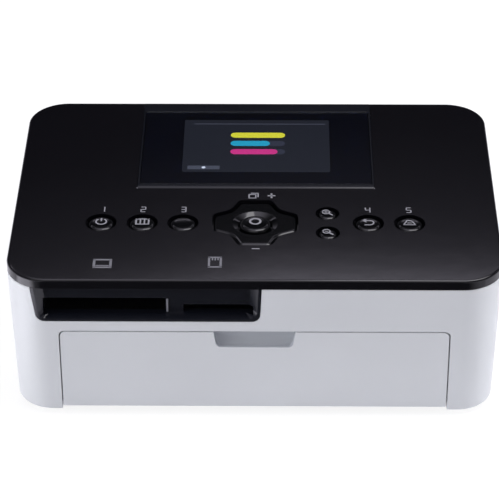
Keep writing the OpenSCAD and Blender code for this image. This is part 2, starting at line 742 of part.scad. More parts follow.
module reader_board() {
    color(board) block([large_slot_x[0] - reader_edge[0], bezel_back + 1.2, reader_top - reader_t],
        [small_slot_x[1] + reader_edge[1], bezel_back + large_socket_d + 1, reader_top]);
}

// ---- paper bay and frames ----
deck_t = 1.2;
deck_post_r = 2;
bulkhead_half = screw_at[0] - screw_post_r - 0.4;
module paper_bay() {
    color(pale) difference() {
        union() {
            // bulkhead behind the front door
            block([-bulkhead_half, bay_front, base_top],
                [bulkhead_half, bay_front + bay_t, frame_low + deck_t]);
            // deck over the bay
            block([-frame_half - frame_t, bay_front, frame_low],
                [frame_half + frame_t, frame_step_y - 2, frame_low + deck_t]);
            for (x = [-frame_half + 2.8, -frame_half / 2, -deck_post_r],
                y = [bay_front + 4, frame_step_y - 6])
                translate([x, y, frame_low])
                    cylinder(r = deck_post_r, h = reader_top - reader_t - frame_low);
        }
        block([-bay_window[0], bay_front - 1, base_top - 1],
            [bay_window[0], bay_front + bay_t + 1, bay_window[1]]);
    }
}
frame_rear = half_d - 5;
module frame_profile() {
    polygon([[bay_front + bay_t, base_top], [frame_rear, base_top], [frame_rear, frame_high],
        [frame_step_y, frame_high], [frame_step_y, frame_low], [bay_front + bay_t, frame_low]]);
}
bush_r = 4;
BUSHES = [platen_at, capstan_at, pickup_at];
module frame_holes(x) {
    for (b = BUSHES) rod(bush_r, x - 1, x + frame_t + 1, b);
    rod(1.5 + run_gap, x - 1, x + frame_t + 1, pinch_at);
    rod(1.5 + run_gap, x - 1, x + frame_t + 1, head_axis);
}
drive_r = 3;
motor_shaft_r = 1;
module left_frame() {
    x = -frame_half - frame_t;
    color(steel) difference() {
        along_x(x, x + frame_t) frame_profile();
        frame_holes(x);
        rod(drive_r + run_gap, x - 1, x + frame_t + 1, take_up_at);
        rod(2.5, x - 1, x + frame_t + 1, feed_motor_at);
        rod(2.5, x - 1, x + frame_t + 1, ribbon_motor_at);
    }
}
cart_gap = 0.8;
module right_frame() {
    x = frame_half;
    color(steel) difference() {
        along_x(x, x + frame_t) frame_profile();
        frame_holes(x);
        // way in for the ribbon cartridge
        block([x - 1, supply_at[0] - tube_r - cart_gap, spool_z - tube_r - cart_gap],
            [x + 3, take_up_at[0] + tube_r + cart_gap, spool_z + tube_r + cart_gap]);
    }
}
module shaft_bushes() {
    color([0.85, 0.82, 0.7]) for (b = BUSHES) both_sides() difference() {
        union() {
            rod(bush_r, frame_half - 1, frame_half + frame_t, b);
            rod(bush_r + 1.2, frame_half - 1, frame_half, b);
        }
        rod(shaft_r + run_gap, frame_half - 2, frame_half + 3, b);
    }
}
STUDS = [[transfer_at, gear_x], [idler_at, gear_x], [ribbon_idler_at, gear2_x]];
stud_r = 1.5;
module gear_studs() {
    color(steel) for (s = STUDS) {
        rod(stud_r, s[1] - gear_w - 0.6, -frame_half - frame_t, s[0]);
        rod(stud_r + 1, s[1] + 0.15, -frame_half - frame_t, s[0]);
    }
}

// ---- gears ----
// involute-like tooth: root, flank and tip points on each side of the tooth
function tooth_half(n, r) =
    let (base = pitch(n) * cos(20), a = acos(min(1, base / max(r, base))),
        ap = 20, inv = (tan(a) - a * PI / 180) * 180 / PI,
        inv_p = (tan(ap) - ap * PI / 180) * 180 / PI)
    (90 / n - backlash / 2 / pitch(n) * 180 / PI) + inv_p - inv;
module gear_shape(n, phase) {
    root = pitch(n) - 1.2 * gear_m;
    tip = pitch(n) + 0.92 * gear_m;
    steps = [root, max(root + 0.01, pitch(n) * cos(20)), pitch(n), tip];
    polygon([for (i = [0 : n - 1], s = [-1, 1], k = [0 : 3])
        let (r = s < 0 ? steps[k] : steps[3 - k], a = phase + i * 360 / n + s * tooth_half(n, r))
        r * [cos(a), sin(a)]]);
}
module gear(n, x, at, phase, bore_r) {
    color(pale) difference() {
        union() {
            along_x(x - gear_w, x) translate(at) gear_shape(n, phase);
            rod(bore_r + 1.1, x - gear_w - 0.3, x, at);
        }
        rod(bore_r, x - gear_w - 1, x + 1, at);
    }
}
module motor_pinion() {
    gear(T_PINION, gear_x, feed_motor_at, motor_phase, motor_shaft_r);
    color(steel) rod(motor_shaft_r, gear_x - gear_w, -frame_half + 0.4, feed_motor_at);
}
module platen_gear() { gear(T_PLATEN, gear_x, platen_at, 0, shaft_r); }
module transfer_gear() { gear(T_TRANSFER, gear_x, transfer_at, transfer_phase, stud_r + run_gap); }
module capstan_gear() { gear(T_CAPSTAN, gear_x, capstan_at, capstan_phase, shaft_r); }
module pickup_idler() { gear(T_IDLER, gear_x, idler_at, idler_phase, stud_r + run_gap); }
module pickup_gear() { gear(T_PICKUP, gear_x, pickup_at, pickup_phase, shaft_r); }
module ribbon_idler() {
    gear(T_RIBBON, gear2_x, ribbon_idler_at, ribbon_idler_phase, stud_r + run_gap);
}
module ribbon_pinion() {
    gear(T_PINION, gear2_x, ribbon_motor_at, ribbon_phase, motor_shaft_r);
    color(steel) rod(motor_shaft_r, gear2_x - gear_w, -frame_half + 0.4, ribbon_motor_at);
}
tube_x = [-frame_half + 4.8, half_w - 13];
roll_half = frame_half - 6.8;
module take_up_gear() {
    gear(T_TAKE_UP, gear2_x, take_up_at, 0, 1.5);
    color(pale) rod(drive_r, gear2_x - 0.5, tube_x[0] - 2.6, take_up_at);
}
motor_cap_r = 2.4;
feed_motor_size = [7.2, 23];
ribbon_motor_size = [5.8, 21];
module motor(r, length, at) {
    x = -frame_half;
    color(steel) difference() {
        union() {
            rod(r, x + 0.8, x + length, at);
            along_x(x, x + 1.2) translate(at) round_rect(2 * r, 2 * r + 1, 2);
            rod(motor_cap_r, x + length, x + length + 1.4, at);
        }
        rod(motor_shaft_r + 0.3, x - 1, x + 1.4, at);
    }
}
module feed_motor() { motor(feed_motor_size[0], feed_motor_size[1], feed_motor_at); }
module ribbon_motor() { motor(ribbon_motor_size[0], ribbon_motor_size[1], ribbon_motor_at); }

// ---- rollers ----
module platen_shaft() {
    color(steel) rod(shaft_r, gear_x - gear_w - 0.6, frame_half + frame_t + 0.8, platen_at);
}
module platen_roller() {
    color(dark) difference() {
        rod(platen_r, -roll_half, roll_half, platen_at);
        rod(shaft_r, -roll_half - 2, roll_half + 2, platen_at);
    }
}
module capstan_roller() {
    color(steel) union() {
        rod(shaft_r, gear_x - gear_w - 0.6, frame_half + frame_t + 0.8, capstan_at);
        rod(capstan_r, -roll_half, roll_half, capstan_at);
    }
}
module pinch_roller() {
    color(steel) union() {
        rod(1.5, -frame_half - frame_t - 0.4, frame_half + frame_t + 0.4, pinch_at);
        rod(pinch_r, -roll_half, roll_half, pinch_at);
    }
}
module pickup_shaft() {
    color(steel) rod(shaft_r, gear_x - gear_w - 0.6, frame_half + frame_t + 0.8, pickup_at);
}
pickup_w = 12;
pickup_x = [-22, 10];
module pickup_roller() {
    color(dark) for (x = pickup_x) difference() {
        rod(pickup_r, x, x + pickup_w, pickup_at);
        rod(shaft_r, x - 1, x + pickup_w + 1, pickup_at);
    }
}
module rear_paper_guide() {
    lip = 1.5;
    y = [capstan_y + capstan_r + 1.6, half_d - 3.7];
    color(pale) difference() {
        block([-frame_half, y[0], slot_rear_z[0] - lip], [frame_half, y[1], slot_rear_z[1] + lip]);
        block([-slot_rear_half - 2, y[0] - 1, slot_rear_z[0]],
            [slot_rear_half + 2, y[1] + 1, slot_rear_z[1]]);
    }
}

// ---- ribbon cartridge ----
journal_r = 2.4;
film_z = paper_z + 0.3;
film_t = 0.15;
slit = 2.4;
cap_r = tube_r - 0.4;
cap_length = 4;
module cartridge_tube(at, side) {
    difference() {
        rod(tube_r, tube_x[0] - 1, tube_x[1], at);
        rod(tube_r - tube_wall, tube_x[0] + 1, tube_x[1] - 2, at);
        rod(journal_r + run_gap, tube_x[0] - 3, tube_x[1] - 1, at);
        // way out for the ribbon
        translate([0, at[0] + side * 8.2, 0])
            block([tube_x[0] + 2, -slit / 2, 0], [tube_x[1] - 3, slit / 2, spool_z - 2]);
    }
}
module cartridge_shell() {
    span = [supply_at[0], take_up_at[0]];
    color([0.5, 0.52, 0.56]) union() {
        cartridge_tube(supply_at, 1);
        cartridge_tube(take_up_at, -1);
        // end pieces that join the two tubes
        block([tube_x[0] - 1, span[0], spool_z + 4], [tube_x[0] + 1, span[1], spool_z + cap_r - 1]);
        difference() {
            union() {
                rod(cap_r, tube_x[1] - 1, tube_x[1] + cap_length, supply_at);
                rod(cap_r, tube_x[1] - 1, tube_x[1] + cap_length, take_up_at);
                block([tube_x[1] + 0.5, span[0], spool_z - cap_r + 2],
                    [tube_x[1] + cap_length, span[1], spool_z + cap_r - 2]);
            }
            // finger recess
            block([tube_x[1] + 1.5, span[0] + 6, spool_z - 5],
                [tube_x[1] + cap_length + 1, span[1] - 6, spool_z + 5]);
        }
    }
}
module spool(at, r) {
    union() {
        rod(r, tube_x[0] + 3, tube_x[1] - 4, at);
        rod(journal_r, tube_x[0] - 2.6, tube_x[1] - 1.2, at);
    }
}
module supply_spool() { color([0.25, 0.2, 0.3]) spool(supply_at, roll_r[0]); }
module take_up_spool() { color([0.2, 0.2, 0.22]) spool(take_up_at, roll_r[1]); }
module ribbon_film() {
    ends = [supply_at[0] + 7.4, take_up_at[0] - 7.4];
    lift = 2.6;
    up = [3.4, 3];
    color([0.3, 0.25, 0.35]) along_x(2 - roll_half, roll_half - 2) polygon([
        [ends[0], film_z + up[1]], [ends[0] + lift, film_z], [ends[1] - lift, film_z],
        [ends[1], film_z + up[1]], [ends[1], film_z + up[1] + film_t * 1.6],
        [ends[1] - lift - 0.1, film_z + film_t], [ends[0] + lift + 0.1, film_z + film_t],
        [ends[0], film_z + up[1] + film_t * 1.6]]);
}

// ---- print head ----
head_y = [platen_y - 5, platen_y + 5];
head_low = film_z + 2.7;
arm_low = spool_z + tube_r + 1.5;
arm_z = [arm_low, arm_low + 1.2];
arm_half = roll_half - 0.5;
module head_arm() {
    color(steel) union() {
        block([-arm_half, head_y[0] - 1, arm_z[0]], [arm_half, head_axis[0], arm_z[1]]);
        both_sides() {
            block([arm_half - 1, head_axis[0] - 4, arm_z[0]],
                [arm_half + 3.5, head_axis[0], arm_z[1]]);
            rod(2.3, arm_half, frame_half - 0.8, head_axis);
            rod(1.5, arm_half, frame_half + frame_t + 0.4, head_axis);
        }
    }
}
head_t = 2.6;
sink_half = roll_half - 2;
sink_gap = 4;
module heat_sink() {
    n = 10;
    step = 2 * sink_half / (n + 0.4);
    color([0.75, 0.76, 0.78]) difference() {
        block([-sink_half, head_y[0], head_low + head_t], [sink_half, head_y[1], arm_z[0]]);
        for (i = [0 : n - 1]) translate([(i - (n - 1) / 2) * step, 0, 0])
            block([-sink_gap / 2, head_y[0] - 1, head_low + 7],
                [sink_gap / 2, head_y[1] + 1, arm_z[0] - 1.5]);
    }
}
module thermal_head() {
    color([0.85, 0.84, 0.8]) union() {
        block([1 - sink_half, head_y[0] + 1.4, head_low + 0.8],
            [sink_half - 1, head_y[1] - 1.4, head_low + head_t]);
        block([1 - sink_half, platen_y - 1.6, head_low], [sink_half - 1, platen_y + 1.6, head_low + 0.9]);
    }
}

// ---- boards and sockets ----
main_x = -half_w + draft + shell_wall + 1.2;
main_t = 1.6;
main_y = [-half_d + 17, screw_at[1] - screw_post_r - 0.4];
main_top = body_h - 22;
chip_t = 1.4;
// each chip: how far along the board it starts, how high, and its side
CHIPS = [[16, 20, 12], [38, 24, 10], [60, 14, 8], [74, 26, 7]];
usb_board_t = 1;
usb_low = usb_at[1] - usb_size[1] / 2;
module main_board() {
    color(board) union() {
        block([main_x, main_y[0], base_top], [main_x + main_t, main_y[1], main_top]);
        for (p = CHIPS) translate([main_x + main_t, main_y[0] + p[0], p[1]])
            translate([-0.1, 0, 0]) cube([chip_t + 0.1, p[2], p[2]]);
        // the strip that carries the rear port
        block([main_x + main_t - 0.1, main_y[1] - 5, usb_low - usb_board_t],
            [usb_at[0] + usb_size[0] / 2, main_y[1], usb_low]);
        block([usb_at[0] - usb_size[0] / 2, main_y[1] - 0.1, usb_low - usb_board_t],
            [usb_at[0] + usb_size[0] / 2, half_d - 4.6, usb_low]);
    }
}
module usb_port() {
    y = [half_d - 16, half_d - 2];
    color(steel) difference() {
        along_y(y[0], y[1]) translate(usb_at) square(usb_size, center = true);
        along_y(y[0] + 2, y[1] + 1) translate(usb_at) square(usb_size - [0.8, 0.8], center = true);
    }
    color(dark) along_y(y[0] + 1, y[1] - 1) translate(usb_at)
        square([usb_size[0] - 3, 1], center = true);
}
module dc_inlet() {
    y = [half_d - 14, half_d - 3.9];
    dc_half = dc_hole_r + 0.3;
    color(dark) difference() {
        union() {
            block([dc_at[0] - dc_half, y[0], base_top],
                [dc_at[0] + dc_half, y[1], dc_at[1] + dc_half]);
            rod_y(dc_hole_r - 0.2, y[1] - 1, half_d - 1.9, dc_at);
        }
        rod_y(3.1, y[0] + 2, half_d + 1, dc_at);
    }
    color(steel) rod_y(0.9, y[0] + 1, half_d - 3, dc_at);
}

base_plate();
body_shell();
top_cover();
card_bezel();
screen_frame();
screen_back();
screen_glass();
lcd_panel();
hinge_pins();
front_door();
side_door();
power_key();
menu_key();
edit_key();
navigation_pad();
centre_key();
zoom_in_key();
zoom_out_key();
back_key();
print_key();
control_board();
key_switches();
paper_bay();
reader_board();
large_card_socket();
small_card_socket();
left_frame();
right_frame();
shaft_bushes();
gear_studs();
feed_motor();
motor_pinion();
platen_shaft();
platen_roller();
platen_gear();
transfer_gear();
capstan_roller();
capstan_gear();
pinch_roller();
pickup_shaft();
pickup_roller();
pickup_gear();
pickup_idler();
ribbon_motor();
ribbon_pinion();
ribbon_idler();
take_up_gear();
take_up_spool();
supply_spool();
cartridge_shell();
ribbon_film();
head_arm();
heat_sink();
thermal_head();
main_board();
dc_inlet();
usb_port();
rear_paper_guide();
case_screws();
rubber_feet();
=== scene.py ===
# %% [markdown]
# # A compact photo printer
# The printer is a white drafted box with a thick black glossy top. The top carries a screen lid,
# seven round keys and a four-way pad, and two card slots open in a black surround at the front.
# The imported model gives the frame: every piece here is built in millimetres at the place that the
# solids have, and then stored in metres, because Blender and the frame work in metres.

import json
import math

import bpy
import bmesh
from mathutils import Matrix, Vector


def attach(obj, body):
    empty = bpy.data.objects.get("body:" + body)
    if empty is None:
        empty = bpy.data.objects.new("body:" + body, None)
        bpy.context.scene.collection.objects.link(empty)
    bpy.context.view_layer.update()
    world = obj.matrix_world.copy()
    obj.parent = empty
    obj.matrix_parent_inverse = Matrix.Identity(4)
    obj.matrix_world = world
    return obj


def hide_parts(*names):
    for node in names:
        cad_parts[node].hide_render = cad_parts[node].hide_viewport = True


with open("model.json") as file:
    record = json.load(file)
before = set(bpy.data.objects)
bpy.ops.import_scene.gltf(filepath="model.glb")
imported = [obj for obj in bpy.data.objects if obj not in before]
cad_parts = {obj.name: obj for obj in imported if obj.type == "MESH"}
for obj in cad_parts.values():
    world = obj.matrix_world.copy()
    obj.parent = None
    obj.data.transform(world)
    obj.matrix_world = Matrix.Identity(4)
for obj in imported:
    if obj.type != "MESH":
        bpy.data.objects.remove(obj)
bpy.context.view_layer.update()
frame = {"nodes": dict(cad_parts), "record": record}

# %% [markdown]
# ## Driving sizes
# A maker's drawing starts with the few sizes that everything else hangs on. X runs to the right,
# Y to the back and Z up, all in millimetres, and the printer stands centred on the origin.

# %% Driving sizes
MM = 0.001
HALF_W, HALF_D = 89.0, 63.0
CORNER_R = 15.0
FLOOR_Z, BAND_Z, TOP_Z = 2.2, 56.5, 60.47    # the ink on the top reaches 60.5
DRAFT = 1.7
WALL = 2.2
PLATE_Z = 58.5    # underside of the top cover
PIN_BORE_R = 1.05

KEY_TOP = TOP_Z - 0.05
KEY_GAP = 0.3
KEY_LEAN = 0.025
KEY_R, ZOOM_R, CENTRE_R = 5.45, 4.1, 6.25
KEY_ROW_Y = -25.0
KEY_AT = {
    "power_key": (-56.5, KEY_ROW_Y, KEY_R), "menu_key": (-41.4, KEY_ROW_Y, KEY_R),
    "edit_key": (-26.5, KEY_ROW_Y, KEY_R), "back_key": (41.4, KEY_ROW_Y, KEY_R),
    "print_key": (56.5, KEY_ROW_Y, KEY_R), "zoom_in_key": (26.5, -18.4, ZOOM_R),
    "zoom_out_key": (26.5, -31.6, ZOOM_R),
}
PAD_AT = (0.0, -24.6)

LID_HALF, LID_GAP = 44.4, 0.15
LID_FRONT = -1.0
HINGE_Y, HINGE_Z, BARREL_R = 1.0, 58.5, 2.0
GLASS_FRONT, GLASS_REAR = 2.5, 56.4
LID_REAR, LID_BOTTOM = 62.8, 54.4
SCREEN_HALF, SCREEN_DEEP, SCREEN_MID_Y = 28.1, 19.7, 31.1    # opening in the printed border

DOOR_HALF, DOOR_TOP, DOOR_GAP, DOOR_ROUND = 70.0, 37.8, 0.4, 2.2
DOOR_BOTTOM, DOOR_AXIS_Z = 3.4, 5.6
SIDE_Y, SIDE_TOP = (-26.0, 44.0), 49.0
BEZEL_X, BEZEL_LOW, BEZEL_BACK, BEZEL_ROUND = (-80.0, 2.6), 42.5, -57.5, 3.0
LARGE_SLOT = ((-75.6, -31.8), (44.4, 50.6))
SMALL_SLOT = ((-25.4, -0.4), (44.7, 47.9))


def draft_at(z):
    """How far the wall leans in at height z."""
    return DRAFT * (BAND_Z - z) / (BAND_Z - FLOOR_Z)


# %% [markdown]
# ## Helpers for solids
# Four small makers cover nearly every moulded part: a stack of rings joined by quads, a flat
# outline pushed along an axis, a turned profile, and a plain block used as a cutter. Cuts are
# Boolean modifiers, and a Bevel modifier breaks the sharp edges as a mould does. `plain_mesh`
# turns the result into one plain mesh, so no modifier is left when the frame is checked.


# %% Outlines in the plane
def arc(cx, cy, r, start, end, steps=8):
    """Points of an arc, with both ends, angles in degrees."""
    turn = [math.radians(start + (end - start) * i / steps) for i in range(steps + 1)]
    return [(cx + r * math.cos(a), cy + r * math.sin(a)) for a in turn]


def round_box(half_x, half_y, r, cx=0.0, cy=0.0, steps=10):
    """Anticlockwise rectangle with round corners."""
    ring = []
    for sx, sy, start in ((1, 1, 0), (-1, 1, 90), (-1, -1, 180), (1, -1, 270)):
        ring += arc(cx + sx * (half_x - r), cy + sy * (half_y - r), r, start, start + 90, steps)
    return ring


def at_height(outline, z):
    """An outline in the plane, lifted to height z."""
    return [(x, y, z) for x, y in outline]


def plan_ring(z, inset):
    """The body's plan at height z, drawn in by inset."""
    return at_height(round_box(HALF_W - inset, HALF_D - inset, CORNER_R - inset, steps=24), z)


# %% Solids from outlines
def new_solid(name, mesh_data):
    """An object in the scene from a bmesh that is measured in millimetres."""
    bmesh.ops.remove_doubles(mesh_data, verts=mesh_data.verts, dist=1e-4)
    bmesh.ops.recalc_face_normals(mesh_data, faces=mesh_data.faces)
    bmesh.ops.scale(mesh_data, vec=(MM, MM, MM), verts=mesh_data.verts)
    mesh = bpy.data.meshes.new(name)
    mesh_data.to_mesh(mesh)
    mesh_data.free()
    solid = bpy.data.objects.new(name, mesh)
    bpy.context.scene.collection.objects.link(solid)
    return solid


def add_rings(mesh_data, rings):
    """Joins rings of equal length with quads, and closes both ends."""
    rows = [[mesh_data.verts.new(p) for p in ring] for ring in rings]
    count = len(rows[0])
    for low, high in zip(rows, rows[1:]):
        for i in range(count):
            j = (i + 1) % count
            mesh_data.faces.new((low[i], low[j], high[j], high[i]))
    mesh_data.faces.new(list(reversed(rows[0])))
    mesh_data.faces.new(rows[-1])


def stack(name, rings):
    """A closed solid from rings."""
    mesh_data = bmesh.new()
    add_rings(mesh_data, rings)
    return new_solid(name, mesh_data)


def circle(cx, cy, r, steps=24):
    """A full turn of an arc, without the point that would close it twice."""
    return arc(cx, cy, r, 0, 360, steps)[:-1]


def turned(name, profile, centre):
    """A closed solid turned about a vertical axis from (radius, z) points."""
    return stack(name, [at_height(circle(*centre, max(r, 0.001), 64), z) for r, z in profile])


def pushed(name, outline, axis, start, end):
    """An outline pushed along an axis: (x, z) points along y, or (y, z) points along x."""
    def place(u, v, w):
        return (u, w, v) if axis == "y" else (w, u, v)

    return stack(name, [[place(u, v, w) for u, v in outline] for w in (start, end)])


def block(name, low, high):
    """A box between two opposite corners."""
    (x0, y0, z0), (x1, y1, z1) = low, high
    return stack(name, [[(x0, y0, z), (x1, y0, z), (x1, y1, z), (x0, y1, z)] for z in (z0, z1)])


# %% Joining, cutting and softening
def plain_mesh(solid):
    """Applies an object's modifiers and its place to its mesh."""
    graph = bpy.context.evaluated_depsgraph_get()
    mesh = bpy.data.meshes.new_from_object(solid.evaluated_get(graph), depsgraph=graph)
    mesh.transform(solid.matrix_world)
    solid.modifiers.clear()
    solid.matrix_world = Matrix.Identity(4)
    solid.data = mesh
    return solid


def combine(solid, tools, how):
    """Boolean with each tool in turn; the tools are used up."""
    for tool in tools:
        cut = solid.modifiers.new("cut", "BOOLEAN")
        cut.operation, cut.solver, cut.object = how, "EXACT", tool
        plain_mesh(solid)
        bpy.data.objects.remove(tool, do_unlink=True)
    return solid


def carve(solid, *tools):
    """Cuts the tools out of a solid."""
    return combine(solid, tools, "DIFFERENCE")


def weld(solid, *tools):
    """Joins the tools to a solid."""
    return combine(solid, tools, "UNION")


def soften(solid, width, segments=2, angle=40):
    """Rounds the sharp edges as a mould does."""
    tidy = bmesh.new()
    tidy.from_mesh(solid.data)
    bmesh.ops.remove_doubles(tidy, verts=tidy.verts, dist=0.01 * MM)
    bmesh.ops.dissolve_limit(tidy, angle_limit=math.radians(0.5), verts=tidy.verts,
                             edges=tidy.edges)
    tidy.to_mesh(solid.data)
    tidy.free()
    bevel = solid.modifiers.new("edge", "BEVEL")
    bevel.width, bevel.segments = width * MM, segments
    bevel.limit_method, bevel.angle_limit = "ANGLE", math.radians(angle)
    bevel.use_clamp_overlap = True
    return plain_mesh(solid)


def lean(solid, centre_y, above=59.0, tilt=KEY_LEAN):
    """Tips the top of a key back by a hair, so that it mirrors the dark behind the printer."""
    for vertex in solid.data.vertices:
        if vertex.co.z > above * MM:
            vertex.co.z -= tilt * (vertex.co.y - centre_y * MM)
    return solid


SHARP_ANGLE = 32    # edges that turn by more degrees than this stay crisp


def ready(solid, body, nodes, material):
    """Gives the piece its finish and shading, hangs it on its body, and hides the solids it stands
    for.
    """
    mesh = solid.data
    mesh.materials.clear()
    mesh.materials.append(material)
    mesh.shade_smooth()
    mesh.set_sharp_from_angle(angle=math.radians(SHARP_ANGLE))
    # large flat faces keep their own direction, and only the rounds between them shade smoothly
    even = solid.modifiers.new("even", "WEIGHTED_NORMAL")
    even.keep_sharp, even.weight = True, 50
    mesh = plain_mesh(solid).data
    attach(solid, body)
    if nodes:
        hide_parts(*nodes)
    print(f"{solid.name}: {len(mesh.polygons)} faces on {body}")
    return solid


# %% [markdown]
# ## Finishes
# Each finish starts from the real stuff and the way it was made. Colours are written as sRGB hex
# values, which one function turns to the linear values that the renderer wants. Patterns are
# measured in millimetres: the object coordinates, which are metres, are multiplied by 1000 first.


# %% Colour and node helpers
def linear(code):
    """An sRGB hex colour as linear RGBA."""
    parts = [int(code[i:i + 2], 16) / 255 for i in (1, 3, 5)]
    return tuple(p / 12.92 if p <= 0.04045 else ((p + 0.055) / 1.055) ** 2.4
                 for p in parts) + (1.0,)


def add_node(tree, kind, settings=(), values=(), links=()):
    """Adds a node, sets its options and its sockets, and links its inputs."""
    node = tree.nodes.new(kind)
    for key, value in dict(settings).items():
        setattr(node, key, value)
    for key, value in dict(values).items():
        node.inputs[key].default_value = value
    for key, source in dict(links).items():
        tree.links.new(source, node.inputs[key])
    return node


def new_finish(name, **values):
    """A material with a Principled shader; the values go on its own sockets."""
    material = bpy.data.materials.new(name)
    material.use_nodes = True
    tree = material.node_tree
    tree.nodes.clear()
    shader = add_node(tree, "ShaderNodeBsdfPrincipled", values=values)
    add_node(tree, "ShaderNodeOutputMaterial", links={"Surface": shader.outputs["BSDF"]})
    return material, tree, shader


def in_millimetres(tree, stretch=(1, 1, 1)):
    """Object coordinates in millimetres."""
    place = add_node(tree, "ShaderNodeTexCoord")
    return add_node(tree, "ShaderNodeMapping", values={"Scale": [s / MM for s in stretch]},
                    links={"Vector": place.outputs["Object"]}).outputs["Vector"]


# %% [markdown]
# ### Moulded and polished plastics
# ABS comes out of the mould with the mould's own surface: a fine spark-eroded grain on the white
# shell, a mirror polish on the black top. A grain gives small bumps and an uneven gloss; a polish
# leaves only a long, faint waviness, which bends reflections a little. Both also vary slightly in
# tone from place to place, where the plastic flowed and cooled. A spark-eroded grain is really
# about 0.1 mm, too fine for this distance, so it is drawn at 0.2 to 0.6 mm.


# %% Moulded plastic
TONE_PER_MM = 0.03    # the tone drifts over some 33 mm


def moulded(name, colour, shade, roughness, grain_mm, depth_mm, **more):
    """Plastic with a mould grain: shade is the darker tone, grain_mm the bumps' spacing."""
    material, tree, shader = new_finish(name, **{"Roughness": roughness, "IOR": 1.53, **more})
    place = in_millimetres(tree)
    cloud = add_node(tree, "ShaderNodeTexNoise", values={"Scale": TONE_PER_MM, "Detail": 2.0},
                     links={"Vector": place})
    tone = add_node(tree, "ShaderNodeMix", settings={"data_type": "RGBA"},
                    values={6: linear(shade), 7: linear(colour)},
                    links={0: cloud.outputs["Fac"]})
    tree.links.new(tone.outputs[2], shader.inputs["Base Color"])
    grain = add_node(tree, "ShaderNodeTexNoise", values={"Scale": 1 / grain_mm, "Detail": 3.0},
                     links={"Vector": place})
    bump = add_node(tree, "ShaderNodeBump", values={"Strength": 1.0, "Distance": depth_mm * MM},
                    links={"Height": grain.outputs["Fac"]})
    tree.links.new(bump.outputs["Normal"], shader.inputs["Normal"])
    gloss = add_node(tree, "ShaderNodeMapRange",
                     values={"To Min": roughness * 0.85, "To Max": roughness * 1.15},
                     links={"Value": grain.outputs["Fac"]})
    tree.links.new(gloss.outputs["Result"], shader.inputs["Roughness"])
    return material


# white ABS, spark-eroded to a satin: soft, wide highlights
white_abs = moulded("white_abs_satin", "#E6E9EC", "#DFE2E5", 0.42, 0.35, 0.004)
# the grip in the front door is the same resin, etched coarser; its greyer colour is painted shade
# for the finger hollow
grip_painted_shade = moulded("grip_abs_painted_shade", "#C6CAD0", "#BEC2C8", 0.6, 0.6, 0.02)
# the base is the same resin, a little greyer, with a coarser grain
grey_abs = moulded("pale_abs_base", "#D2D3D8", "#C9CACF", 0.55, 0.5, 0.01)
# black ABS, mirror-polished and lacquered: sharp reflections on a near-black ground
piano_black = moulded("black_abs_polished", "#0B0A0F", "#08080C", 0.07, 6.0, 0.004)
# the lid's mould is etched a little less bright, with a blue cast
lid_black = moulded("lid_abs_blue_black", "#0B0E16", "#080B12", 0.14, 6.0, 0.004,
                    **{"Specular IOR Level": 0.3})
# the window is printed black from behind, with the same blue cast
window_print = moulded("window_print_blue_black", "#28324F", "#232C48", 0.1, 2.0, 0.0005,
                       **{"Specular IOR Level": 0.1})
# the card surround is polished too; its black is lighter and bluer than the plastic's own,
# as painted reflection
bezel_black_painted_sheen = moulded("bezel_abs_painted_sheen", "#181A22", "#14161E", 0.22, 4.0, 0.008)
# a thin rib between the card slots, its pale grey a painted highlight on the large slot's right
# edge
rib_painted_highlight = moulded("rib_abs_painted_highlight", "#8C8E96", "#808289", 0.4, 0.4, 0.006)
# keys in black ABS, polished a little less than the top: their rims draw the light into arcs
key_black = moulded("key_abs_polished", "#050608", "#030405", 0.1, 3.0, 0.002)
# the paper bay is plain polystyrene as moulded: a flat, pale grey that shows no reflections
bay_grey = moulded("bay_polystyrene", "#BFC1C6", "#B4B6BC", 0.5, 0.4, 0.008)
# gears in acetal are waxy: milky white, with a little light passing into the teeth
gear_white = moulded("gear_acetal", "#E4E1D8", "#D6D2C6", 0.38, 0.3, 0.004,
                     **{"Subsurface Weight": 0.08, "Subsurface Scale": 0.0008})
# bushes in an oil-filled polymer: dull tan, with a fine sandy grain
bush_tan = moulded("bush_sintered_polymer", "#B79C6D", "#A58A5C", 0.5, 0.4, 0.01)
# the cartridge and its spools are throw-away polystyrene: mid grey and near black, a soft sheen
cartridge_grey = moulded("cartridge_polystyrene", "#7E828B", "#727680", 0.42, 0.35, 0.006)
spool_dark = moulded("spool_polystyrene", "#2B2833", "#24222B", 0.4, 0.35, 0.005)
# polyester film coated with dye: dark violet and smooth, with slack waves that bend its gloss
ribbon_dye = moulded("ribbon_polyester_dye", "#3A2E48", "#2C2338", 0.22, 8.0, 0.02)
# nylon for the sockets' bodies: black and half matt
inlet_black = moulded("inlet_nylon", "#17171A", "#101013", 0.45, 0.3, 0.006)
# rubber soaks up the light: the feet are moulded and dull, the rollers ground to an even tooth
foot_rubber = moulded("foot_rubber", "#26262A", "#1D1D20", 0.8, 0.5, 0.03)
roller_rubber = moulded("roller_rubber_ground", "#232327", "#1B1B1E", 0.7, 0.25, 0.02)
# the thermal head is alumina under a thin glaze: ivory and smooth, with a soft shine
ceramic = moulded("head_alumina", "#CFC7B4", "#BDB5A1", 0.35, 0.2, 0.004)
print("plastics made")

# %% [markdown]
# ### Metals
# The works are bright: rolled steel sheet, ground pins, a knurled feed roller and an aluminium
# heat sink. A brushed or ground metal has fine parallel scratches, so its noise is stretched along
# one axis; the stretched noise drives both the gloss and a very shallow bump.


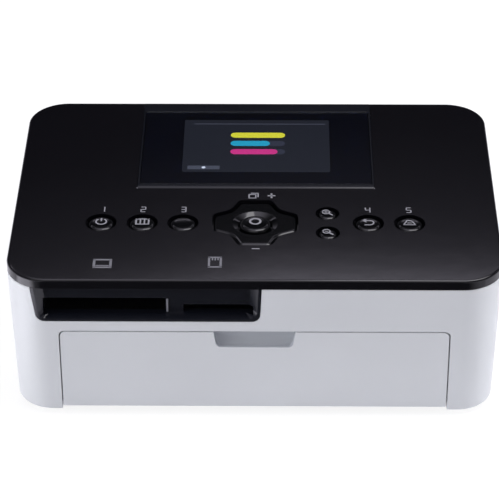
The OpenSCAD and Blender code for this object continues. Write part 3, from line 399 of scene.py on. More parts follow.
# %% Worked metal
def worked_metal(name, colour, dark, roughness, scratch_mm, along=(0.05, 1, 1)):
    """Metal with parallel scratches; along gives the squeeze of the noise on each axis."""
    material, tree, shader = new_finish(name, **{"Metallic": 1.0, "Roughness": roughness})
    place = in_millimetres(tree, along)
    scratch = add_node(tree, "ShaderNodeTexNoise",
                       values={"Scale": 1 / scratch_mm, "Detail": 4.0}, links={"Vector": place})
    tone = add_node(tree, "ShaderNodeMix", settings={"data_type": "RGBA"},
                    values={6: linear(dark), 7: linear(colour)},
                    links={0: scratch.outputs["Fac"]})
    tree.links.new(tone.outputs[2], shader.inputs["Base Color"])
    gloss = add_node(tree, "ShaderNodeMapRange",
                     values={"To Min": roughness * 0.75, "To Max": roughness * 1.3},
                     links={"Value": scratch.outputs["Fac"]})
    tree.links.new(gloss.outputs["Result"], shader.inputs["Roughness"])
    bump = add_node(tree, "ShaderNodeBump", values={"Strength": 0.5, "Distance": 0.003 * MM},
                    links={"Height": scratch.outputs["Fac"]})
    tree.links.new(bump.outputs["Normal"], shader.inputs["Normal"])
    return material


# rolled steel with a zinc coat: cool grey, brushed from side to side
sheet_zinc = worked_metal("sheet_steel_zinc", "#B4B8BC", "#A2A6AA", 0.34, 0.4)
# pins ground round: bright, with hair-fine rings about their length
pin_ground = worked_metal("pin_steel_ground", "#C6C8CA", "#B2B4B6", 0.22, 0.15, (1, 0.1, 0.1))
# folded sheet, tinned: a soft silver, streaked from front to back
socket_tinned = worked_metal("socket_steel_tinned", "#AEB0B2", "#96989A", 0.3, 0.3, (1, 0.05, 1))
# a knurled feed roller: its fine teeth scatter the light evenly, so it has no streaks
roller_knurled = worked_metal("roller_steel_knurled", "#B9BBBE", "#8E9093", 0.4, 0.25, (1, 1, 1))
# drawn steel cans: bluish grey, drawn along their length
motor_can = worked_metal("motor_steel_can", "#A8ACB0", "#95999D", 0.32, 0.3)
# the key switches' covers are stamped brass, tinned: a warmer silver
switch_tin = worked_metal("switch_brass_tinned", "#BDBBB4", "#A9A7A0", 0.35, 0.2)
# extruded aluminium, left as it comes from the die: pale and dull, with long faint lines
sink_extruded = worked_metal("sink_aluminium", "#B7BABD", "#A3A6A9", 0.42, 0.3, (0.08, 1, 1))
print("metals made")

# %% [markdown]
# ### Circuit boards
# A board is glass cloth under green solder mask. The mask is glossy and lets copper tracks show
# through as lighter lines. Real tracks are finer than the 1.2 mm pitch of the brick pattern here,
# which is as coarse as it has to be to show.


# %% Solder mask
def solder_mask(name, ground, track):
    """A green board: the ground between tracks, and the paler tracks under the same gloss."""
    material, tree, shader = new_finish(name, **{"Roughness": 0.28, "IOR": 1.5})
    place = in_millimetres(tree)
    lines = add_node(tree, "ShaderNodeTexBrick",
                     values={"Color1": linear(ground), "Color2": linear(ground),
                             "Mortar": linear(track), "Scale": 1.0, "Mortar Size": 0.12,
                             "Brick Width": 9.0, "Row Height": 1.2},
                     links={"Vector": place})
    tree.links.new(lines.outputs["Color"], shader.inputs["Base Color"])
    bump = add_node(tree, "ShaderNodeBump", values={"Strength": 0.6, "Distance": 0.03 * MM},
                    links={"Height": lines.outputs["Fac"]})
    tree.links.new(bump.outputs["Normal"], shader.inputs["Normal"])
    return material


board_green = solder_mask("board_solder_mask", "#1D5B38", "#2E7A4C")

# %% [markdown]
# ### Ink, glass and display
# The signs on the top are pad-printed in pale grey ink, a film too thin to model but for its edge.
# The window is a clear sheet, black behind its border. The display gives off its own light, so its
# colours are emission.


# %% Ink, glass and display
SPECK_MM = 1 / 6


def printed_ink(name, colour):
    """Pad-printed ink: matt, and mottled by a fifth where the film is thin."""
    material, tree, shader = new_finish(name, **{"Roughness": 0.5})
    place = in_millimetres(tree)
    speck = add_node(tree, "ShaderNodeTexNoise", values={"Scale": 1 / SPECK_MM, "Detail": 2.0},
                     links={"Vector": place})
    film = add_node(tree, "ShaderNodeMix", settings={"data_type": "RGBA"},
                    values={6: linear(colour), 7: [0.8 * c for c in linear(colour)[:3]] + [1]},
                    links={0: speck.outputs["Fac"]})
    tree.links.new(film.outputs[2], shader.inputs["Base Color"])
    return material


sign_ink = printed_ink("pad_printed_ink_grey", "#A2A2AA")
dim_ink = printed_ink("pad_printed_ink_dim", "#84848C")


TINT_MM = 12.5    # the smoky tint drifts over this length


def clear_sheet(name, tint, smoke):
    """Cast acrylic: perfectly smooth, with a smoky tint that is a little uneven."""
    material, tree, shader = new_finish(
        name, **{"Transmission Weight": 1.0, "IOR": 1.49, "Roughness": 0.0})
    place = in_millimetres(tree, (1, 0.3, 1))
    cloud = add_node(tree, "ShaderNodeTexNoise", values={"Scale": 1 / TINT_MM, "Detail": 3.0},
                     links={"Vector": place})
    tone = add_node(tree, "ShaderNodeMix", settings={"data_type": "RGBA"},
                    values={6: linear(smoke), 7: linear(tint)}, links={0: cloud.outputs["Fac"]})
    tree.links.new(tone.outputs[2], shader.inputs["Base Color"])
    return material


window_acrylic = clear_sheet("window_acrylic_smoked", "#8E939C", "#8A8F98")


PIXEL_MM = 0.25    # the real pitch is about 0.18 mm, and a coarser one shows better


def lit_display(name, colour, strength):
    """A backlit display: a fine grid of pixels over an even glow."""
    material, tree, shader = new_finish(
        name, **{"Base Color": linear("#0A0B0E"), "Roughness": 0.12,
                 "Specular IOR Level": 0.2, "Emission Strength": strength})
    place = in_millimetres(tree)
    grid = add_node(tree, "ShaderNodeTexBrick", settings={"offset": 0.0},
                    values={"Color1": linear(colour), "Color2": linear(colour),
                            "Mortar": [0.7 * c for c in linear(colour)[:3]] + [1],
                            "Scale": 1.0, "Mortar Size": PIXEL_MM * 0.1,
                            "Brick Width": PIXEL_MM, "Row Height": PIXEL_MM},
                    links={"Vector": place})
    tree.links.new(grid.outputs["Color"], shader.inputs["Emission Color"])
    return material


display_ground = lit_display("display_backlit", "#31333B", 2.1)
print("ink, glass and display made")

# %% [markdown]
# ## White shell
# The shell is one moulding: a drafted box, open above and below, with openings for two doors, the
# card surround, the paper slot, two sockets and rows of cooling slots. It is made as a stack of
# plan rings, hollowed by a second stack, and then cut. The cooling slots repeat at a pitch, so one
# Geometry Nodes tree makes each row of cutters.


# %% A row of slots
def row_tree():
    """Geometry Nodes: a row of blocks along a line, with named sizes."""
    tree = bpy.data.node_groups.new("row_of_blocks", "GeometryNodeTree")
    face = tree.interface
    for name, kind in (("Count", "NodeSocketInt"), ("Step", "NodeSocketVector"),
                       ("Size", "NodeSocketVector"), ("Start", "NodeSocketVector"),
                       ("Finish", "NodeSocketMaterial")):
        face.new_socket(name, in_out="INPUT", socket_type=kind)
    face.new_socket("Geometry", in_out="OUTPUT", socket_type="NodeSocketGeometry")
    given = add_node(tree, "NodeGroupInput").outputs
    line = add_node(tree, "GeometryNodeMeshLine",
                    links={"Count": given["Count"], "Offset": given["Step"],
                           "Start Location": given["Start"]})
    cube = add_node(tree, "GeometryNodeMeshCube", links={"Size": given["Size"]})
    copies = add_node(tree, "GeometryNodeInstanceOnPoints",
                      links={"Points": line.outputs["Mesh"], "Instance": cube.outputs["Mesh"]})
    real = add_node(tree, "GeometryNodeRealizeInstances",
                    links={"Geometry": copies.outputs["Instances"]})
    paint = add_node(tree, "GeometryNodeSetMaterial",
                     links={"Geometry": real.outputs["Geometry"], "Material": given["Finish"]})
    add_node(tree, "NodeGroupOutput", links={"Geometry": paint.outputs["Geometry"]})
    return tree


ROW = row_tree()


def row_of_blocks(name, count, step, size, start):
    """Blocks of one size in a row, as one plain mesh; sizes in millimetres."""
    holder = bpy.data.objects.new(name, bpy.data.meshes.new(name))
    bpy.context.scene.collection.objects.link(holder)
    maker = holder.modifiers.new("row", "NODES")
    maker.node_group = ROW
    names = {s.name: s.identifier for s in ROW.interface.items_tree if s.in_out == "INPUT"}
    maker[names["Count"]] = count
    for key, value in (("Step", step), ("Size", size), ("Start", start)):
        maker[names[key]] = [v * MM for v in value]
    maker[names["Finish"]] = white_abs
    return plain_mesh(holder)


# %% White shell
FOOT_ROUND = 1.2
TOP_BREAK = 0.25    # chamfer along the shell's upper edge
FRONT_CUT, BACK_CUT = (-80, -58), (57, 70)    # how far the cutters reach along y
PAPER_SLOT = round_box(55, 3.2, 1.0, 0, 26.4, 4)
INLET_HOLE = circle(69.2, 10.5, 5.2, 32)
PORT_HOLE = round_box(4.1, 2.45, 0.5, -71.1, 14.5, 4)
VENT_PITCH, VENT_W, VENT_H, VENT_Z, VENT_DEEP = 4.5, 2, 10, 43, 12


def shell_levels():
    """The outside of the shell: a round foot and then the drafted wall."""
    rings = []
    for i in range(7):
        turn = math.radians(90 * i / 6)
        z = FLOOR_Z + FOOT_ROUND * (1 - math.cos(turn))
        rings.append(plan_ring(z, draft_at(z) + FOOT_ROUND * (1 - math.sin(turn))))
    rings.append(plan_ring(BAND_Z - TOP_BREAK, draft_at(BAND_Z - TOP_BREAK)))
    rings.append(plan_ring(BAND_Z, TOP_BREAK))
    return rings


def door_outline(x0, x1, top, grow):
    """A door opening seen from its front, as (x, z) points, with round upper corners."""
    r = DOOR_ROUND
    return ([(x0 - grow, -1), (x1 + grow, -1)]
            + arc(x1 + grow - r, top + grow - r, r, 0, 90)
            + arc(x0 - grow + r, top + grow - r, r, 90, 180))


BEZEL_LEANS = (1.7, 0.6)    # how far its left and right sides have come in at the foot


def bezel_outline(grow):
    """The card surround seen from the front, as (x, z) points."""
    r, low, high = BEZEL_ROUND, BEZEL_LOW - grow, BAND_Z + 1
    left, right = BEZEL_X[0] - grow, BEZEL_X[1] + grow
    return ([(right, high), (left, high)]
            + arc(left + BEZEL_LEANS[0] + r, low + r, r, 190, 270)
            + arc(right - BEZEL_LEANS[1] - r, low + r, r, 270, 358))


def turn_to_side(solid):
    """Carries what is drawn for the front wall to the right wall."""
    solid.matrix_world = (Matrix.Translation(((HALF_W - HALF_D) * MM, 0, 0))
                          @ Matrix.Rotation(math.pi / 2, 4, "Z"))
    bpy.context.view_layer.update()
    return plain_mesh(solid)


core = stack("core", [plan_ring(FLOOR_Z - 1, draft_at(FLOOR_Z - 1) + WALL),
                      plan_ring(BAND_Z + 1, draft_at(BAND_Z + 1) + WALL)])
white_shell = stack("white_shell", shell_levels())
carve(white_shell, core,
      pushed("door_hole", door_outline(-DOOR_HALF, DOOR_HALF, DOOR_TOP, DOOR_GAP), "y", *FRONT_CUT),
      turn_to_side(pushed("side_door_hole", door_outline(*SIDE_Y, SIDE_TOP, DOOR_GAP),
                          "y", *FRONT_CUT)),
      pushed("surround_hole", bezel_outline(0.15), "y", FRONT_CUT[0], BEZEL_BACK - 0.1),
      pushed("paper_slot", PAPER_SLOT, "y", *BACK_CUT),
      pushed("inlet_hole", INLET_HOLE, "y", *BACK_CUT),
      pushed("port_hole", PORT_HOLE, "y", *BACK_CUT),
      row_of_blocks("back_vents", 10, (VENT_PITCH, 0, 0), (VENT_W, VENT_DEEP, VENT_H),
                    (19, HALF_D, VENT_Z)),
      row_of_blocks("side_vents", 8, (0, VENT_PITCH, 0), (VENT_DEEP, VENT_W, VENT_H),
                    (-HALF_W, 9, VENT_Z)))
soften(white_shell, 0.3, angle=50)
ready(white_shell, "printer", ["body_shell"], white_abs)

# %% [markdown]
# ## Black top
# The top is a thick lid-like moulding, four millimetres at its edge, with a small round all along
# its upper edge that catches the light. The keys' holes and the pad's opening are straight bores
# with crisp edges. The well at the back holds the screen lid, over a pan.

# %% Black top
TOP_ROUND = 0.9


def cover_levels():
    """The outside of the top cover: a straight band, then a small round up to its face."""
    rings = [plan_ring(BAND_Z, 0.2), plan_ring(BAND_Z + 0.2, 0.0)]
    for i in range(9):
        turn = math.radians(90 * i / 8)
        rings.append(plan_ring(TOP_Z - TOP_ROUND + TOP_ROUND * math.sin(turn),
                               TOP_ROUND * (1 - math.cos(turn))))
    return rings


def hole_tool(name, centre, r):
    """The cutter for a key's hole."""
    return turned(name, [(r + KEY_GAP, PLATE_Z - 3), (r + KEY_GAP, TOP_Z + 1)], centre)


# a quarter of the pad: the corner of its side arm, the inner corner and that of its rear arm;
# two of the four quarters run the other way round
PAD_SIDE, PAD_INNER, PAD_REAR = (15.5, 5.4), (8.6, 8.8), (5.8, 15.3)
PAD_TIP_ROUND, PAD_INNER_ROUND = 2.4, 6.0
PAD_CORNERS = [(sx * x, sy * y) for sx, sy in ((1, 1), (-1, 1), (-1, -1), (1, -1))
               for x, y in (PAD_SIDE, PAD_INNER, PAD_REAR)[::sx * sy]]


def pad_outline(grow):
    """The four-way pad's plan: four tapered arms, with round tips and faired inner corners."""
    count = len(PAD_CORNERS)
    corner = [Vector(p) for p in PAD_CORNERS]
    moved = []
    for i, here in enumerate(corner):
        d1 = (here - corner[i - 1]).normalized()
        d2 = (corner[(i + 1) % count] - here).normalized()
        n1, n2 = Vector((d1.y, -d1.x)), Vector((d2.y, -d2.x))
        moved.append(here + (n1 + n2) * grow / (1 + n1.dot(n2)))
    ring = []
    for i, here in enumerate(moved):
        u = (moved[i - 1] - here).normalized()
        v = (moved[(i + 1) % count] - here).normalized()
        inner = i % 3 == 1
        r = PAD_INNER_ROUND - grow if inner else PAD_TIP_ROUND + grow
        half = math.acos(u.dot(v)) / 2
        centre = here + (u + v).normalized() * r / math.sin(half)
        p = here + u * r / math.tan(half) - centre
        q = here + v * r / math.tan(half) - centre
        turn = math.atan2(p.x * q.y - p.y * q.x, p.dot(q))
        start = math.atan2(p.y, p.x)
        for k in range(9):
            a = start + turn * k / 8
            ring.append((PAD_AT[0] + centre.x + r * math.cos(a),
                         PAD_AT[1] + centre.y + r * math.sin(a)))
    return ring


PAN_Z, PAN_TOP = 52.2, 53.6
black_top = stack("black_top", cover_levels())
carve(black_top, stack("under", [plan_ring(z, WALL) for z in (BAND_Z - 1, PLATE_Z)]))
weld(black_top, block("pan", (-LID_HALF - 2, LID_FRONT - 2, PAN_Z),
                      (LID_HALF + 2, 60.5, PLATE_Z + 0.5)))
carve(black_top,
      block("well", (-LID_HALF - LID_GAP, LID_FRONT - LID_GAP, PAN_TOP),
            (LID_HALF + LID_GAP, 59.8, TOP_Z + 1)),
      block("way_out", (-LID_HALF - 0.04, 59.0, BAND_Z - 1),
            (LID_HALF + 0.04, HALF_D + 1, TOP_Z + 1)))
soften(black_top, 0.35, segments=3, angle=50)
carve(black_top,
      stack("pad_hole", [at_height(pad_outline(KEY_GAP), z) for z in (PLATE_Z - 3, TOP_Z + 1)]),
      *[hole_tool(key + "_hole", (x, y), r) for key, (x, y, r) in KEY_AT.items()])
ready(black_top, "printer", ["top_cover"], piano_black)

# %% [markdown]
# ## Screen lid
# The lid is a shallow tray that tilts about its front edge on two pins. Its rear edge is cut away
# underneath, so that a finger can lift it. The frame is one profile pushed from side to side,
# with a recess on top for the window and a deeper one for the display.

# %% Lid frame
BACK_HALF = LID_HALF - 1.7
BACK_Y = (HINGE_Y + BARREL_R + 0.3, LID_REAR - 5)
LID_PLATE_Z = 58.3
LID_PINS_X = (37, 46)
GLASS_Z = 59.5
LIP_Y, LIP_Z, LIP_BREAK = LID_REAR - 3.4, 56.9, 0.4    # the finger lip along the rear edge
BACK_FIT = 0.1
RECESS_HALF, RECESS_FIT = LID_HALF - 0.75, 0.05
SIGHT_HALF, SIGHT_Y = 29.1, (10.4, 51)


def lid_profile():
    """The lid from its side, as (y, z) points: hinge barrel, flat underside and finger lip."""
    nose = arc(HINGE_Y, HINGE_Z, BARREL_R, 270, 90, 16)[::-1]
    return nose + [(HINGE_Y, LID_BOTTOM), (LIP_Y, LID_BOTTOM), (LIP_Y, LIP_Z), (LID_REAR, LIP_Z),
                   (LID_REAR, TOP_Z - LIP_BREAK), (LID_REAR - LIP_BREAK, TOP_Z)]


lid_frame = pushed("lid_frame", lid_profile(), "x", -LID_HALF, LID_HALF)
carve(lid_frame,
      block("hollow", (-BACK_HALF - BACK_FIT, BACK_Y[0] - BACK_FIT, LID_BOTTOM - 1),
            (BACK_HALF + BACK_FIT, BACK_Y[1] + BACK_FIT, LID_PLATE_Z)),
      block("recess", (-RECESS_HALF, GLASS_FRONT - RECESS_FIT, GLASS_Z),
            (RECESS_HALF, GLASS_REAR + RECESS_FIT, TOP_Z + 1)),
      block("sight", (-SIGHT_HALF, SIGHT_Y[0], LID_PLATE_Z - 1),
            (SIGHT_HALF, SIGHT_Y[1], TOP_Z + 1)),
      *[pushed("pin_bore", circle(HINGE_Y, HINGE_Z, PIN_BORE_R), "x",
               *sorted(side * x for x in LID_PINS_X)) for side in (-1, 1)])
soften(lid_frame, 0.12, angle=50)
ready(lid_frame, "screen_lid", ["screen_frame"], lid_black)

# %% Lid back
BACK_T = 1.2
lid_back = weld(block("lid_back", (-BACK_HALF, BACK_Y[0], LID_BOTTOM),
                      (BACK_HALF, BACK_Y[1], LID_BOTTOM + BACK_T)),
                carve(block("rim", (-BACK_HALF, BACK_Y[0], LID_BOTTOM + 1),
                            (BACK_HALF, BACK_Y[1], LID_PLATE_Z - 0.1)),
                      block("rim_in", (-BACK_HALF + BACK_T, BACK_Y[0] + BACK_T, LID_BOTTOM),
                            (BACK_HALF - BACK_T, BACK_Y[1] - BACK_T, LID_PLATE_Z + 1))))
soften(lid_back, 0.3)
ready(lid_back, "screen_lid", ["screen_back"], lid_black)

# %% [markdown]
# ## Window and display
# The window is a clear sheet let in flush with the lid. Under it the border is printed black, with
# an opening that is rounded at its corners; below that lies the display module.

# %% Window
GLASS_HALF, GLASS_ROUND = LID_HALF - 0.85, 0.4
GLASS_MID, GLASS_DEEP = (GLASS_REAR + GLASS_FRONT) / 2, (GLASS_REAR - GLASS_FRONT) / 2
GLASS_BREAK = 0.06
window = stack("window", [
    at_height(round_box(GLASS_HALF - inset, GLASS_DEEP - inset, GLASS_ROUND, 0, GLASS_MID), z)
    for inset, z in ((0, GLASS_Z + 0.05), (0, TOP_Z - GLASS_BREAK), (GLASS_BREAK, TOP_Z))])
ready(window, "screen_lid", ["screen_glass"], window_acrylic)

# %% Printed border
def with_opening(name, outer, inner, z0, z1):
    """A flat ring between two outlines."""
    plate = stack(name, [at_height(outer, z0), at_height(outer, z1)])
    hole = stack(name + "_hole", [at_height(inner, z0 - 1), at_height(inner, z1 + 1)])
    return carve(plate, hole)


border = with_opening("window_border", round_box(GLASS_HALF, GLASS_DEEP, GLASS_ROUND, 0, GLASS_MID),
                      round_box(SCREEN_HALF, SCREEN_DEEP, 0.8, 0, SCREEN_MID_Y),
                      GLASS_Z + 0.005, GLASS_Z + 0.03)
ready(border, "screen_lid", [], window_print)

# %% Display
PANEL_HALF, PANEL_Y, DISPLAY_Z = 28.9, (10.6, 50.8), 59.38
TRAY_HALF, TRAY_Y, TRAY_Z = 32.1, (8.4, 53), (55.6, 57.9)    # the tray that holds the panel
display = weld(block("display", (-PANEL_HALF, PANEL_Y[0], TRAY_Z[1] - 0.1),
                     (PANEL_HALF, PANEL_Y[1], DISPLAY_Z)),
               block("tray", (-TRAY_HALF, TRAY_Y[0], TRAY_Z[0]), (TRAY_HALF, TRAY_Y[1], TRAY_Z[1])))
soften(display, 0.2)
ready(display, "screen_lid", ["lcd_panel"], display_ground)

# %% [markdown]
# ### What the display shows
# The picture on the display is a plain ink gauge: three round-ended bars in yellow, cyan and
# magenta, each over a darker track. A small grey bar at the lower left has a light dot on it. The
# marks are thin raised tiles in the display's own light.


# %% Ink gauge
TILE_T = 0.02
BAR_HALF, BAR_DEEP, BAR_X = 10.5, 1.9, 0.5
BAR_TOP_Y, BAR_PITCH = 39.0, 6.2
STATUS_AT = (-20.0, 14.9)


def tile(name, half_x, half_y, cx, cy, layer, material, r=None):
    """A raised mark on the display; layer 0 lies on it and layer 1 on a mark."""
    outline = round_box(half_x, half_y, min(half_x, half_y) * 0.98 if r is None else r, cx, cy, 6)
    z = DISPLAY_Z + layer * TILE_T
    piece = stack(name, [at_height(outline, z), at_height(outline, z + TILE_T)])
    return ready(piece, "screen_lid", [], material)


GAUGES = (("yellow", "#F4EA40", 1.0), ("cyan", "#2CAECB", 0.72), ("magenta", "#E43D8C", 0.86))
for row, (ink, code, fill) in enumerate(GAUGES):
    y = BAR_TOP_Y - row * BAR_PITCH
    tile(f"gauge_track_{ink}", BAR_HALF, BAR_DEEP, BAR_X, y, 0,
         lit_display(f"track_{ink}", "#454755", 2.4))
    tile(f"gauge_bar_{ink}", BAR_HALF * fill, BAR_DEEP, BAR_X - BAR_HALF * (1 - fill), y, 1,
         lit_display(f"display_{ink}", code, 3.4))
tile("status_bar", 6.1, 1.3, *STATUS_AT, 0, lit_display("display_grey", "#5B5D68", 2.8), r=0.3)
tile("status_dot", 0.7, 0.7, *STATUS_AT, 1, lit_display("display_white", "#D8DAE2", 4.5))
# a pale line glows across the top of the display
tile("top_line", 25.5, 0.35, 1.2, 47.6, 0, lit_display("display_edge", "#54555F", 2.6), r=0.1)

# %% [markdown]
# ## Doors
# Both doors are drafted leaves that lie flush in the wall and turn on pins near their lower edge.
# One maker draws a leaf in the front wall; the side door is the same thing carried to the right.

# %% Door leaves
DOOR_T = 2.2
AXIS_Y = -(HALF_D - draft_at(DOOR_AXIS_Z)) + 2.5
KNUCKLE_R, KNUCKLE_L = 1.9, 7
RIB_T, RIB_H, RIB_FROM_END = 1.2, 1.3, 4
FOOT_BREAK = 0.8


def door_leaf(name, x0, x1, top):
    """A door drawn in the front wall between x0 and x1."""
    low, high = -HALF_D + draft_at(DOOR_BOTTOM), -HALF_D + draft_at(top)
    leaf = pushed(name, [(low + DOOR_T, DOOR_BOTTOM), (low + FOOT_BREAK, DOOR_BOTTOM),
                         (low, DOOR_BOTTOM + FOOT_BREAK), (high, top), (high + DOOR_T, top)],
                  "x", x0, x1)
    combine(leaf, [pushed("outline", door_outline(x0, x1, top - 0.1, 0), "y", FRONT_CUT[0], 0)],
            "INTERSECT")
    soften(leaf, 0.2, angle=30)
    parts = []
    for x in (x0, x1 - KNUCKLE_L):
        parts.append(pushed("knuckle", circle(AXIS_Y, DOOR_AXIS_Z, KNUCKLE_R),
                            "x", x, x + KNUCKLE_L))
        parts.append(block("web", (x, low + 1, DOOR_AXIS_Z - 1.5),
                           (x + KNUCKLE_L, AXIS_Y, DOOR_AXIS_Z + 1.7)))
    for x in (x0 + RIB_FROM_END, x1 - RIB_FROM_END - RIB_T):
        parts.append(block("rib", (x, low + DOOR_T - 0.3, DOOR_AXIS_Z + 3),
                           (x + RIB_T, low + DOOR_T + RIB_H, top - 3)))
    weld(leaf, *parts)
    return carve(leaf, *[pushed("bore", circle(AXIS_Y, DOOR_AXIS_Z, PIN_BORE_R), "x", a, b)
                         for a, b in ((x0 - 1, x0 + 6.8), (x1 - 6.8, x1 + 1))])


# %% Front door
SCOOP_HALF, SCOOP_LOW, SCOOP_ROUND = 15.0, DOOR_TOP - 6.8, 2.0
SCOOP_SWEEP_R = 9    # the fingertips' hollow is part of a lying cylinder


def scoop_outline(grow):
    """The finger scoop seen from the front, as (x, z) points."""
    r = SCOOP_ROUND
    return ([(SCOOP_HALF + grow, DOOR_TOP + 1), (-SCOOP_HALF - grow, DOOR_TOP + 1)]
            + arc(-SCOOP_HALF + 1 - grow + r, SCOOP_LOW - grow + r, r, 190, 270)
            + arc(SCOOP_HALF - 1 + grow - r, SCOOP_LOW - grow + r, r, 270, 350))


face_y = -HALF_D + draft_at(DOOR_TOP)
front_door = door_leaf("front_door_leaf", -DOOR_HALF, DOOR_HALF, DOOR_TOP)
scoop_back = pushed("scoop_back", scoop_outline(1.6), "y", face_y + 0.5, AXIS_Y + 1.3)
combine(scoop_back, [block("below_top", (-30, FRONT_CUT[0], 0), (30, 0, DOOR_TOP))], "INTERSECT")
weld(front_door, scoop_back)
scoop = pushed("scoop", scoop_outline(0), "y", FRONT_CUT[0], AXIS_Y + 0.2)
combine(scoop, [pushed("sweep", circle(face_y - 4.6, SCOOP_LOW + 6.4, SCOOP_SWEEP_R, 64),
                       "x", -30, 30)], "INTERSECT")
carve(front_door, scoop)
ready(front_door, "front_door", ["front_door"], white_abs)
# the grip's hollow is etched coarser than the leaf, and its greyer colour is painted shade
front_door.data.materials.append(grip_painted_shade)
for face in front_door.data.polygons:
    x, y, z = face.center / MM
    if abs(x) < SCOOP_HALF + 0.3 and z > SCOOP_LOW - 0.2 and (
            -HALF_D + draft_at(z) + 0.1 < y < AXIS_Y + 0.4):
        face.material_index = 1

# %% Side door
PULL_HALF, PULL_R = 9, 5    # a shallow hollow at the upper edge, for a fingertip
side_door = door_leaf("side_door_leaf", *SIDE_Y, SIDE_TOP)
mid = sum(SIDE_Y) / 2
carve(side_door, pushed("hollow", circle(-HALF_D - 3.6, SIDE_TOP - 1.6, PULL_R, 48),
                        "x", mid - PULL_HALF, mid + PULL_HALF))
turn_to_side(side_door)
ready(side_door, "side_door", ["side_door"], white_abs)

# %% [markdown]
# ## Card surround
# A black polished piece fills the upper left of the front. Its face is a shallow tapered cove, and
# all its edges are rounded. A thin pale grey rib between the two slots is a painted highlight along
# the large slot's right edge.

# %% Card surround
bezel = pushed("card_surround", bezel_outline(0), "y", -HALF_D - 1, BEZEL_BACK)
combine(bezel, [stack("wall", [plan_ring(z, draft_at(z)) for z in (FLOOR_Z, BAND_Z)])],
        "INTERSECT")
front_y = -HALF_D + draft_at(BEZEL_LOW)
bezel_mid = sum(BEZEL_X) / 2
# three rings from outside to the cove's floor: place along y, share of the width, lift of the edge
COVE_RINGS = ((-HALF_D - 2, 0.976, 1.0), (front_y + 0.2, 0.976, 1.0), (front_y + 3, 0.906, 2.2))
cove = stack("cove", [[(bezel_mid + (x - bezel_mid) * wide, y, z + up)
                       for x, z in bezel_outline(0)] for y, wide, up in COVE_RINGS])
carve(bezel, cove)
carve(bezel, *[block("slot", (x[0], -HALF_D - 7, z[0]), (x[1], BEZEL_BACK + 7.5, z[1]))
               for x, z in (LARGE_SLOT, SMALL_SLOT)])
soften(bezel, 0.45, segments=3, angle=50)
# the surround's black is lighter and bluer than the plastic's own: painted reflection
ready(bezel, "printer", ["card_bezel"], bezel_black_painted_sheen)
# the rib's pale grey is a painted highlight along the large slot's right edge
rib = soften(block("highlight_rib", (-31.5, front_y + 2.5, 44.9), (-30.8, front_y + 3.3, 50.4)), 0.2)
ready(rib, "printer", [], rib_painted_highlight)

# %% [markdown]
# ## Keys
# A round key has a wide rounded rim, which draws the light into a thin bright arc at its near
# side, and a top that is dished by a hair for the fingertip. All seven, and the key at the pad's
# centre, are turned from one profile. The pad is a stack of its own outline, drawn in step by step
# along a quarter round, and the bevel of its opening carries the ring of light.

# %% Round keys
KEY_BOTTOM = 57.5
FLANGE_TOP = 58.3
FLANGE = 1.4
RIM_ROUND = 1.4
DISH = 0.12
CAP_GAP, CAP_DROP = 0.5, 0.15    # the cap stands in from the key's radius and below its top


def key_profile(r, flange_top=FLANGE_TOP):
    """Half a key cut through its middle, as (radius, z) points."""
    r, top = r - CAP_GAP, KEY_TOP - CAP_DROP
    rounded = arc(r - RIM_ROUND, top - RIM_ROUND, RIM_ROUND, 0, 90, 9)
    dish = [(r * k, top - DISH * (1 - (k / 0.8) ** 2)) for k in (0.66, 0.5, 0.34, 0.17)]
    return ([(0, KEY_BOTTOM), (r + FLANGE, KEY_BOTTOM), (r + FLANGE, flange_top), (r, flange_top)]
            + rounded + dish + [(0, top - DISH)])


for key, (x, y, r) in KEY_AT.items():
    ready(lean(turned(key + "_cap", key_profile(r), (x, y)), y), key, [key],
          key_black)
ready(lean(turned("centre_key_cap", key_profile(CENTRE_R, flange_top=KEY_BOTTOM + 0.35), PAD_AT),
           PAD_AT[1]), "centre_key", ["centre_key"], key_black)

# %% Four-way pad
PAD_ROUND, PAD_TOP = 1.6, KEY_TOP - 0.35
PAD_FLANGE, PAD_WALL = 0.9, -0.2    # how far each stands out from the pad's own outline
pad_rings = [at_height(pad_outline(PAD_FLANGE), KEY_BOTTOM),
             at_height(pad_outline(PAD_FLANGE), FLANGE_TOP),
             at_height(pad_outline(PAD_WALL), FLANGE_TOP)]
for grow, z in arc(PAD_WALL - PAD_ROUND, PAD_TOP - PAD_ROUND, PAD_ROUND, 0, 90, 6):
    pad_rings.append(at_height(pad_outline(grow), z))
pad = stack("four_way_pad", pad_rings)
RING_R = CENTRE_R + 0.1
SEAT_R, SEAT_Z = RING_R + 0.9, KEY_BOTTOM + 0.95    # room for the centre key's flange
# the bevel round the opening: out from the opening's edge, and down or up from the pad's top
BEVEL = ((0, -1.05), (0.4, -0.8), (1.9, -0.06), (2.2, 0.02), (2.3, TOP_Z + 1 - PAD_TOP))
carve(pad, turned("ring", [(SEAT_R, KEY_BOTTOM - 1), (SEAT_R, SEAT_Z), (RING_R, SEAT_Z)]
                  + [(RING_R + out, PAD_TOP + up) for out, up in BEVEL], PAD_AT))
ready(lean(pad, PAD_AT[1], above=58.9, tilt=0.02), "navigation_pad",
      ["navigation_pad"], key_black)

# %% [markdown]
# ## Printed signs
# The keys carry common signs: a power mark, a list, a return arrow, a print start and two
# magnifiers. Plain numbers stand over the five keys of the row. Each sign is a set of flat bars
# and rings, 0.03 mm of ink, lying on the surface that it is printed on.

# %% Sign makers
INK_T = 0.03
SIGN_BACK = 1.1


def bar(a, b, width):
    """A straight stroke between two points, as an outline."""
    a, b = Vector(a), Vector(b)
    side = (b - a).normalized().orthogonal() * width / 2
    return [tuple(a - side), tuple(b - side), tuple(b + side), tuple(a + side)]


def bow(cx, cy, r, start, end, width):
    """A curved stroke."""
    return arc(cx, cy, r + width / 2, start, end, 24) + arc(cx, cy, r - width / 2, end, start, 24)


def hoop(cx, cy, r, width):
    """A full ring, as two halves."""
    return [bow(cx, cy, r, 0, 180, width), bow(cx, cy, r, 180, 360, width)]


